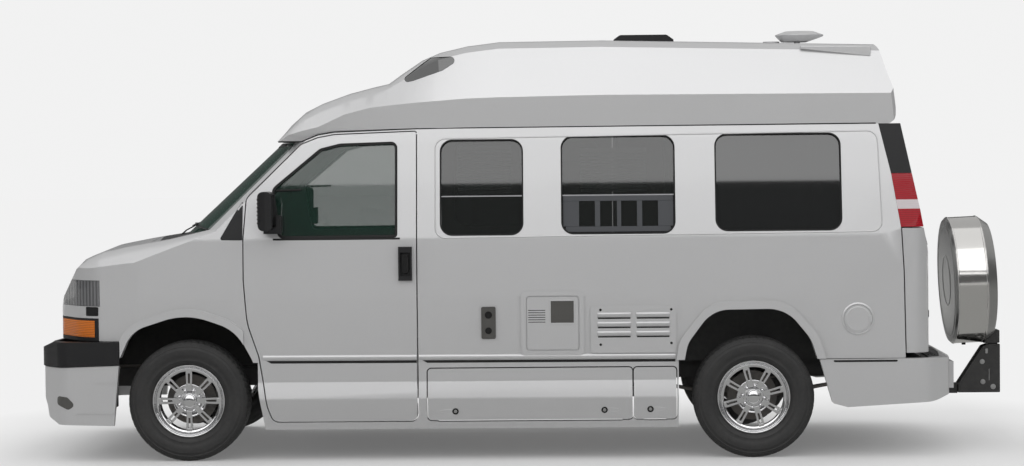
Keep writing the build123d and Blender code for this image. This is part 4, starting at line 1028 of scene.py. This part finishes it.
# %% Mirrors, corner covers and locks
MIRROR_X, MIRROR_Y, MIRROR_Z = (0.456, 0.552), (1.030, 1.190), (1.403, 1.637)
CORNER_COVER = rounded([(0.205, 1.345, 0.01), (0.345, 1.343, 0.006), (0.347, 1.590, 0.006)], 3)
cab_skin = skin_of("nose_shell", "body_side_left", "body_side_right", "door_left", "door_right")
for side, body, label in ((NEAR, "driver_door", "near"), (FAR_SIDE, "passenger_door", "far")):
    seen = upright(side)
    ribs = Shape()
    for k in range(7):
        z = MIRROR_Z[0] + 0.042 + k * 0.0235
        ribs.prism(pane(MIRROR_X[0], MIRROR_X[0] + 0.030, z, z + 0.010, 0.002), MIRROR_Y[1] - 0.050,
                   MIRROR_Y[1] - 0.0255, seen)
    make(f"mirror_ribs_{label}", ribs, [grained], body, edge=0.001)
    glass_plate = Shape()

    def behind(a, b, c, side=side):
        return station(c), side * a, b
    face = pane(MIRROR_Y[0] + 0.016, MIRROR_Y[1] - 0.016, MIRROR_Z[0] + 0.022, MIRROR_Z[1] - 0.022, 0.012)
    glass_plate.prism(face, MIRROR_X[1] - 0.014, MIRROR_X[1] - 0.009, behind)
    make(f"mirror_glass_{label}", glass_plate, [chrome], body, edge=0.001)
    lock = Shape()
    disc(lock, 1.331, 1.280, 0.011, 0.012, 0.0235, side, 0, 20)
    disc(lock, 1.331, 1.280, 0.0065, 0.022, 0.0255, side, 1, 16)
    make(f"door_lock_{label}", lock, [smooth_black, plain_steel], body)
    paddle = Shape().prism(pane(1.308, 1.354, 1.135, 1.252, 0.018), 1.004, 1.024, seen)
    make(f"door_paddle_{label}", paddle, [smooth_black], body, edge=0.003)
    laid(f"corner_cover_{label}", CORNER_COVER, cab_skin, side, grained)
leaf_handle = Shape().prism(pane(1.985, 2.068, 1.110, 1.290, 0.028), -0.004, 0.012, far)
leaf_handle.prism(pane(1.997, 2.056, 1.150, 1.272, 0.018), 0.010, 0.022, far, 1)
disc(leaf_handle, 2.0265, 1.131, 0.010, 0.010, 0.016, FAR_SIDE, 2, 20)
make("side_door_handle", leaf_handle, [grained, smooth_black, plain_steel], "side_leaf_front", edge=0.003)
print("door details ready")

# %% [markdown]
# ## The roof
# A board stands along each edge of the roof at its rear and hides the step behind the vent. The vent has
# low ribs across its lid.

# %% Roof boards and vent ribs
boards = Shape()
BOARD = [(3.736, 2.470), (4.160, 2.420), (4.164, 2.484), (3.736, 2.488)]
for side in (NEAR, FAR_SIDE):
    boards.prism(BOARD, -0.02, 0.02, upright(side, 0.780))
make("roof_boards", boards, [roof_paint_painted_lighter], edge=0.004)
vent_ribs = Shape()
for k in range(7):
    y = -0.165 + k * 0.055
    vent_ribs.bar([(station(2.655), y, 2.5915), (station(2.945), y, 2.5915)], 0.006, 0.0035)
make("vent_ribs", vent_ribs, [grained])
print("roof details ready")

# %% [markdown]
# ## The tail
# Two doors close the rear. Each window has its rubber, the doors turn on outside hinges, and the right one
# carries the handle. The bumper has a moulded slot on each side, drawn as a thin black strip of painted shade,
# and a black tread strip along its top.

# %% Rear doors and bumper
for side, label in SIDES:
    low_y, high_y = sorted((side * 0.110, side * 0.650))
    line = split_long(pane(low_y, high_y, 1.400, 1.880, 0.06), 0.10)
    ring = Shape().hoop(inset(line, 0.001), inset(line, 0.012), -0.017, -0.001, tail)
    make(f"rear_window_seal_{label}", ring, [seal])
    hinges = Shape()
    for z in (0.855, 1.300, 1.860):
        y = side * (0.815 if z < 1.35 else 0.745)
        hinges.prism(pane(y - 0.035, y + 0.035, z - 0.022, z + 0.022, 0.008, 3), -0.004, 0.008, tail)
        hinges.bar([tail(y, z - 0.028, 0.010), tail(y, z + 0.028, 0.010)], 0.007, 0.007)
    make(f"rear_hinges_{label}", hinges, [smooth_black], edge=0.001)
rear_handle = Shape()
recess = pane(0.030, 0.210, 1.120, 1.215, 0.012)
rear_handle.hoop(recess, inset(recess, 0.012), -0.003, 0.010, tail)
rear_handle.prism(inset(recess, 0.011), -0.003, 0.002, tail)
rear_handle.prism(pane(0.050, 0.190, 1.168, 1.196, 0.006), 0.002, 0.011, tail)
make("rear_handle", rear_handle, [grained], edge=0.0015)

bumper_skin = skin_of("rear_bumper")
SLOT_SHADE = [(3.905, 0.578, 0.008), (4.290, 0.578, 0.008), (4.290, 0.590, 0.004), (3.905, 0.590, 0.004)]
for side, label in SIDES:
    # Each slot is a thin black strip laid on the bumper: painted shade that stands for the dark inside of the
    # slot.
    laid(f"bumper_slot_shade_{label}", rounded(SLOT_SHADE, 2), bumper_skin, side, seal, 0.0012, 0.004, 0.06)
tread = Shape()
deck = [(4.640, 0.0), (4.636, 0.2), (4.622, 0.4), (4.602, 0.62), (4.583, 0.78), (4.540, 0.86), (4.519, 0.86)]
tread.prism([(x, -y) for x, y in reversed(deck)] + deck[1:], 0.572, 0.583, lambda a, b, c: (station(a), b, c))
for x in (4.534, 4.552, 4.570):
    tread.bar([(station(x), -0.60, 0.584), (station(x), 0.60, 0.584)], 0.004, 0.003)
make("bumper_tread", tread, [grained])
print("tail details ready")

# %% [markdown]
# ## Spare wheel and carrier
# The cover is a drum of polished sheet. A rolled bead stiffens each edge of its band, and a knob holds its
# face. The carrier's two gusset plates are bolted through, with a slot above the pivot.

# %% Cover beads and carrier bolts
LEAN = Matrix.Rotation(math.radians(-2.5), 3, "Y")


def on_cover(a, b, c):
    """Outlines in the cover's face; c runs backward along its axle from the front face."""
    return Vector((station(4.8655), 0, 1.016)) + LEAN @ Vector((c - 0.1325, a, b))


beads = Shape()
for at in (0.020, 0.198):
    ring = [(0.4035, at - 0.006), (0.4063, at - 0.003), (0.4068, at), (0.4063, at + 0.003), (0.4035, at + 0.006)]
    beads.lathe(ring, 96, on_cover)
make("cover_beads", beads, [band_steel], "carrier")
rings = Shape()
for radius in (0.154, 0.352):
    ridge = [(radius - 0.004, 0.001), (radius, -0.003), (radius + 0.006, -0.003), (radius + 0.010, 0.001)]
    rings.lathe(ridge, 96, on_cover)
rings.bar([(station(4.840), 0, 0.620), (station(4.840), 0, 0.598)], 0.013, 0.013, 1, 12, (1, 0, 0))
make("cover_rings", rings, [face_steel, smooth_black], "carrier", edge=0.001)
bolts = Shape()


def hexagon(x, z, radius):
    return [(x + radius * math.cos(math.pi / 3 * k), z + radius * math.sin(math.pi / 3 * k)) for k in range(6)]


for side in (NEAR, FAR_SIDE):
    gusset = upright(side, 0.060)
    for x, z, radius in ((4.953, 0.364, 0.011), (4.949, 0.493, 0.011), (5.018, 0.332, 0.012)):
        bolts.prism(hexagon(x, z, radius), -0.001, 0.008, gusset)
        washer = [(0.0, 0.0), (radius + 0.005, 0.0), (radius + 0.005, 0.002), (0.0, 0.002)]
        bolts.lathe(washer, 20, lambda a, b, c: gusset(x + a, z + b, c))
    bolts.prism(pane(4.969, 4.985, 0.545, 0.577, 0.005), -0.001, 0.0012, gusset)
    bolts.prism(pane(4.991, 4.995, 0.372, 0.446, 0.0015), -0.001, 0.0012, gusset)
make("carrier_bolts", bolts, [plain_steel], edge=0.0008)
print("carrier details ready")

# %% [markdown]
# ## Seats
# Each front seat is two foam pads and a headrest in woven cloth, on a steel box, and the sofa in the rear
# is two long pads on a plinth. Foam covers are cut flat and sewn over the foam, so they bulge between their
# seams and pull in at the corners. A little air pressure does the same to a closed cloth, so each pad
# starts a bit small and the cloth solver swells it. The result is written into the mesh, and the sewn
# channels come after it.

# %% Pads from cloth simulation
SEAT_Y = 0.430
SWELL_LIMIT = 0.024
PADS = {       # side outline of (station, height, radius), middle, half width, voxel, channel axis and places
    "cushion": ([(0.712, 0.772, 0.045), (1.218, 0.772, 0.02), (1.218, 0.866, 0.035), (0.712, 0.905, 0.05)],
                -SEAT_Y, 0.236, 0.011, 1, (-0.13, 0.13)),
    "backrest": ([(1.150, 0.893, 0.02), (1.288, 0.893, 0.04), (1.425, 1.468, 0.035), (1.342, 1.484, 0.03)],
                 -SEAT_Y, 0.226, 0.011, 2, (-0.16, -0.02, 0.12)),
    "headrest": ([(1.362, 1.500, 0.02), (1.428, 1.490, 0.02), (1.455, 1.672, 0.025), (1.395, 1.682, 0.025)],
                 -SEAT_Y, 0.112, 0.008, 1, ()),
    "sofa_seat": ([(3.190, 0.875, 0.03), (4.095, 0.875, 0.02), (4.095, 0.985, 0.04), (3.190, 0.990, 0.05)],
                  0.0, 0.555, 0.018, 1, (-0.185, 0.185)),
    "sofa_back": ([(4.082, 0.990, 0.02), (4.240, 0.985, 0.02), (4.240, 1.290, 0.04), (4.105, 1.295, 0.05)],
                  0.0, 0.545, 0.016, 1, (-0.185, 0.185)),
}


def evaluated(piece):
    """The mesh that an object's modifiers make of it."""
    graph = bpy.context.evaluated_depsgraph_get()
    return bpy.data.meshes.new_from_object(piece.evaluated_get(graph))


def inflate(piece):
    """Let the cloth solver swell a closed mesh for twenty frames, and write the result into it."""
    start = [v.co.copy() for v in piece.data.vertices]
    cloth = piece.modifiers.new("cloth", "CLOTH")
    cloth.settings.use_pressure = True
    cloth.settings.uniform_pressure_force = 4.0
    cloth.settings.effector_weights.gravity = 0.0
    for number in range(1, 21):
        bpy.context.scene.frame_set(number)
    moved = [v.co.copy() for v in evaluated(piece).vertices]
    piece.modifiers.clear()
    bpy.context.scene.frame_set(1)
    for vertex, old, new in zip(piece.data.vertices, start, moved):
        push = new - old
        vertex.co = old + push * min(1.0, SWELL_LIMIT / max(push.length, 1e-6))


def pad(name):
    """Closed form, voxel remesh, swelling, one subdivision, then its channels."""
    outline, middle, half, voxel, axis, lines = PADS[name]
    seed = Shape().prism(rounded(outline, 4), middle - half, middle + half, lambda a, b, c: (station(a), c, b))
    piece = make(f"seat_{name}", seed, [seat_cloth])
    soft = piece.modifiers.new("corners", "BEVEL")
    soft.width, soft.segments, soft.limit_method, soft.angle_limit = 0.030, 3, "ANGLE", math.radians(60)
    fine = piece.modifiers.new("remesh", "REMESH")
    fine.mode, fine.voxel_size = "VOXEL", voxel
    piece.data = evaluated(piece)
    piece.modifiers.clear()
    inflate(piece)
    smooth = piece.modifiers.new("subdivision", "SUBSURF")
    smooth.levels = smooth.render_levels = 1
    piece.data = evaluated(piece)
    piece.modifiers.clear()
    heart = sum((v.co for v in piece.data.vertices), Vector()) / len(piece.data.vertices)
    for vertex in piece.data.vertices:
        place = vertex.co[axis] - heart[axis]
        depth = sum(math.exp(-((place - line) / 0.009) ** 2) for line in lines) * 0.008
        vertex.co += (heart - vertex.co).normalized() * depth
    piece.data.shade_smooth()
    print(name, len(piece.data.vertices), "points")
    return piece


for name in PADS:
    piece = pad(name)
    if name.startswith("sofa"):
        continue
    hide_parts("front_seats")
    twin = bpy.data.objects.new(f"seat_{name}_far", piece.data.copy())
    twin.data.transform(Matrix.Translation((0, 2 * SEAT_Y, 0)))
    bpy.context.scene.collection.objects.link(twin)
    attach(twin, "van_body")
    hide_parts("front_seats")
print("pads", len(PADS))

# %% [markdown]
# The steel boxes under the front seats are folded sheet, with a slide on each side and two steel rods for
# the headrest.

# %% Seat boxes
for side, label in SIDES:
    across = upright(side, SEAT_Y)
    seat_box = Shape()
    sheet = rounded([(0.775, 0.600, 0.01), (1.225, 0.600, 0.01), (1.205, 0.764, 0.02), (0.790, 0.764, 0.02)], 3)
    seat_box.prism(sheet, -0.185, 0.185, across)
    for k in (-1, 1):
        seat_box.bar([across(0.740, 0.768, k * 0.19), across(1.235, 0.768, k * 0.19)], 0.012, 0.009)
        rod = [across(1.385, 1.440, k * 0.055), across(1.408, 1.530, k * 0.055)]
        seat_box.bar(rod, 0.006, 0.006, up=(0, 1, 0))
    made = make(f"seat_frame_{label}", seat_box, [smooth_black], edge=0.003)
    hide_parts("front_seats")
print("seat boxes ready")

# %% [markdown]
# The cab also has an inside mirror on the windscreen and a sun visor over each seat. Both show through the
# glass.

# %% Inside mirror and visors
def visor_place(a, b, c):
    """A sun visor hangs back and down from the head of the windscreen."""
    return station(0.64 - b * 0.75), a, 1.862 - b * 0.66 + c


cab_trim = Shape()
for y in (-0.40, 0.40):
    cab_trim.prism(pane(y - 0.20, y + 0.20, 0, 0.15, 0.03), 0.0, 0.014, visor_place)
cab_trim.prism(pane(-0.12, 0.12, 1.765, 1.825, 0.02), 0.440, 0.462, lambda a, b, c: (station(c), a, b))
cab_trim.bar([(station(0.452), 0, 1.80), (station(0.425), 0, 1.838)], 0.008, 0.008, up=(0, 1, 0))
make("cab_trim", cab_trim, [grey_trim], edge=0.003)
print("cab trim ready")

# %% [markdown]
# ## Floor and light
# A silver van shows whatever stands round it. In a car studio a very large soft light hangs over the roof,
# the walls are pale, and the black flags that stop stray light make the dark band that every flank mirrors
# at eye level. The sky here is one ramp by height: pale at the horizon, where it is also the background,
# and brighter overhead. The flags are dark walls that only reflections see, so they shade nothing. The
# floor is as pale as the background, and it keeps the van's own soft shadow.

# %% Sky
PALE = 0.885
SKY = [(0.0, PALE), (0.56, PALE), (0.66, 1.2), (0.78, 1.3), (0.90, 1.0), (1.0, 0.9)]     # height, strength

world = bpy.data.worlds.new("studio")
bpy.context.scene.world = world
world.use_nodes = True
sky = world.node_tree
way = sky.nodes.new("ShaderNodeTexCoord").outputs["Generated"]
split = sky.nodes.new("ShaderNodeSeparateXYZ")
lift = sky.nodes.new("ShaderNodeMapRange")
lift.inputs["From Min"].default_value, lift.inputs["From Max"].default_value = -1.0, 1.0
ramp = sky.nodes.new("ShaderNodeValToRGB")
while len(ramp.color_ramp.elements) < len(SKY):
    ramp.color_ramp.elements.new(0.5)
for stop, (place, level) in zip(ramp.color_ramp.elements, SKY):
    stop.position = place
    stop.color = (level, level, level, 1)
for source, target in ((way, split.inputs[0]), (split.outputs["Z"], lift.inputs["Value"]),
                       (lift.outputs["Result"], ramp.inputs[0]),
                       (ramp.outputs[0], sky.nodes["Background"].inputs[0])):
    sky.links.new(source, target)
print("sky bands", len(SKY))

# %% Floor
def flat(name, corners, material):
    mesh = bpy.data.meshes.new(name)
    mesh.from_pydata(corners, [], [(0, 1, 2, 3)])
    mesh.materials.append(material)
    made = bpy.data.objects.new(name, mesh)
    bpy.context.scene.collection.objects.link(made)
    return made


LIT_FROM = 9.0                   # the mirrored floor is brighter from here outward
GROUND = [(-90, -90, 0), (90, -90, 0), (90, 90, 0), (-90, 90, 0)]
pale = Finish("pale_floor", (0.74, 0.74, 0.74), roughness=1.0, specular_ior_level=0.0)
glow = pale.node("ShaderNodeEmission", {}, {"Color": (PALE, PALE, PALE, 1)})
beyond_ends = ((abs(pale.height("X")) - 3.1) / 0.9).clip()
beyond_sides = ((abs(pale.height("Y")) - 1.6) / 1.5).clip()
seen = pale.node("ShaderNodeLightPath", {}, {}, "Is Camera Ray")
seen = seen * ((beyond_ends + beyond_sides).clip() * 0.8 + 0.15)
both = pale.node("ShaderNodeMixShader", {}, {0: seen, 1: Wire(pale, pale.shader.outputs[0]), 2: glow})
pale.tree.links.new(both.socket, pale.tree.nodes["Material Output"].inputs["Surface"])
floor = flat("floor", GROUND, pale.material)
floor.visible_glossy = False
dull = Finish("dull_floor", (0.50, 0.50, 0.49), roughness=1.0, specular_ior_level=0.0)
dull.feed("Base Color", dull.mix(abs(dull.height("Y")) > LIT_FROM, (0.50, 0.50, 0.49), (0.95, 0.95, 0.94)))
mirrored_floor = flat("floor_in_mirrors", GROUND, dull.material)
mirrored_floor.visible_camera = mirrored_floor.visible_diffuse = mirrored_floor.visible_transmission = False
mirrored_floor.visible_shadow = False
print("floors ready")

# %% Flags and strip lights
CARD_AT, CARD_HALF = 22.0, 22.0
# name, quarter turns, foot, head, level
CARDS = [("flag_near", 0, 0.02, 5.9, 0.10), ("waist_near", 0, 5.9, 7.3, 1.6), ("belt_near", 0, 7.3, 8.55, 0.10),
         ("strip_near", 0, 8.55, 40.0, 1.7), ("flag_far", 2, 0.02, 8.55, 0.10), ("wall_far", 2, 8.55, 60.0, 0.5),
         ("flag_tail", 1, 0.02, 8.4, 0.12), ("wall_tail", 1, 8.4, 26.0, 0.5),
         ("flag_nose", 3, 0.02, 8.4, 0.12), ("wall_nose", 3, 8.4, 26.0, 0.4)]
for name, turns, foot, head, level in CARDS:
    card = Finish(name, (0, 0, 0), roughness=1.0, specular_ior_level=0.0, emission_color=(level, level, level, 1),
                  emission_strength=1.0)
    turn = Matrix.Rotation(math.pi / 2 * turns, 3, "Z")
    corners = [(-CARD_HALF, foot), (CARD_HALF, foot), (CARD_HALF, head), (-CARD_HALF, head)]
    made = flat(name, [turn @ Vector((x, -CARD_AT, z)) for x, z in corners], card.material)
    made.visible_camera = made.visible_diffuse = made.visible_transmission = made.visible_shadow = False
print("cards", len(CARDS))

# %% [markdown]
# ## Camera
# The camera stands 16 m from the van, a little above its waist, and looks a little down and toward the
# nose. A long lens keeps both wheels nearly the same size.

# %% Camera
CAMERA_PLACE = Vector((station(2.3616), -16.0, 1.8691))
CAMERA_LENS = 87.55
YAW, TILT, ROLL = (math.radians(a) for a in (-1.4674, 1.8944, 0.5725))
ahead = Vector((math.sin(YAW) * math.cos(TILT), math.cos(YAW) * math.cos(TILT), -math.sin(TILT)))
level = Vector((math.cos(YAW), -math.sin(YAW), 0))
above = level.cross(ahead)
right = math.cos(ROLL) * level - math.sin(ROLL) * above
top = math.sin(ROLL) * level + math.cos(ROLL) * above
camera_data = bpy.data.cameras.new("camera")
camera_data.lens = CAMERA_LENS
camera_data.sensor_width = 36.0
camera_data.sensor_fit = "HORIZONTAL"
camera_data.clip_end = 200.0
camera = bpy.data.objects.new("camera", camera_data)
camera.matrix_world = Matrix.Translation(CAMERA_PLACE) @ Matrix((right, top, -ahead)).transposed().to_4x4()
bpy.context.scene.collection.objects.link(camera)
bpy.context.scene.camera = camera
bpy.context.scene.view_settings.view_transform = "Standard"
print("camera at", tuple(round(v, 3) for v in camera.location))
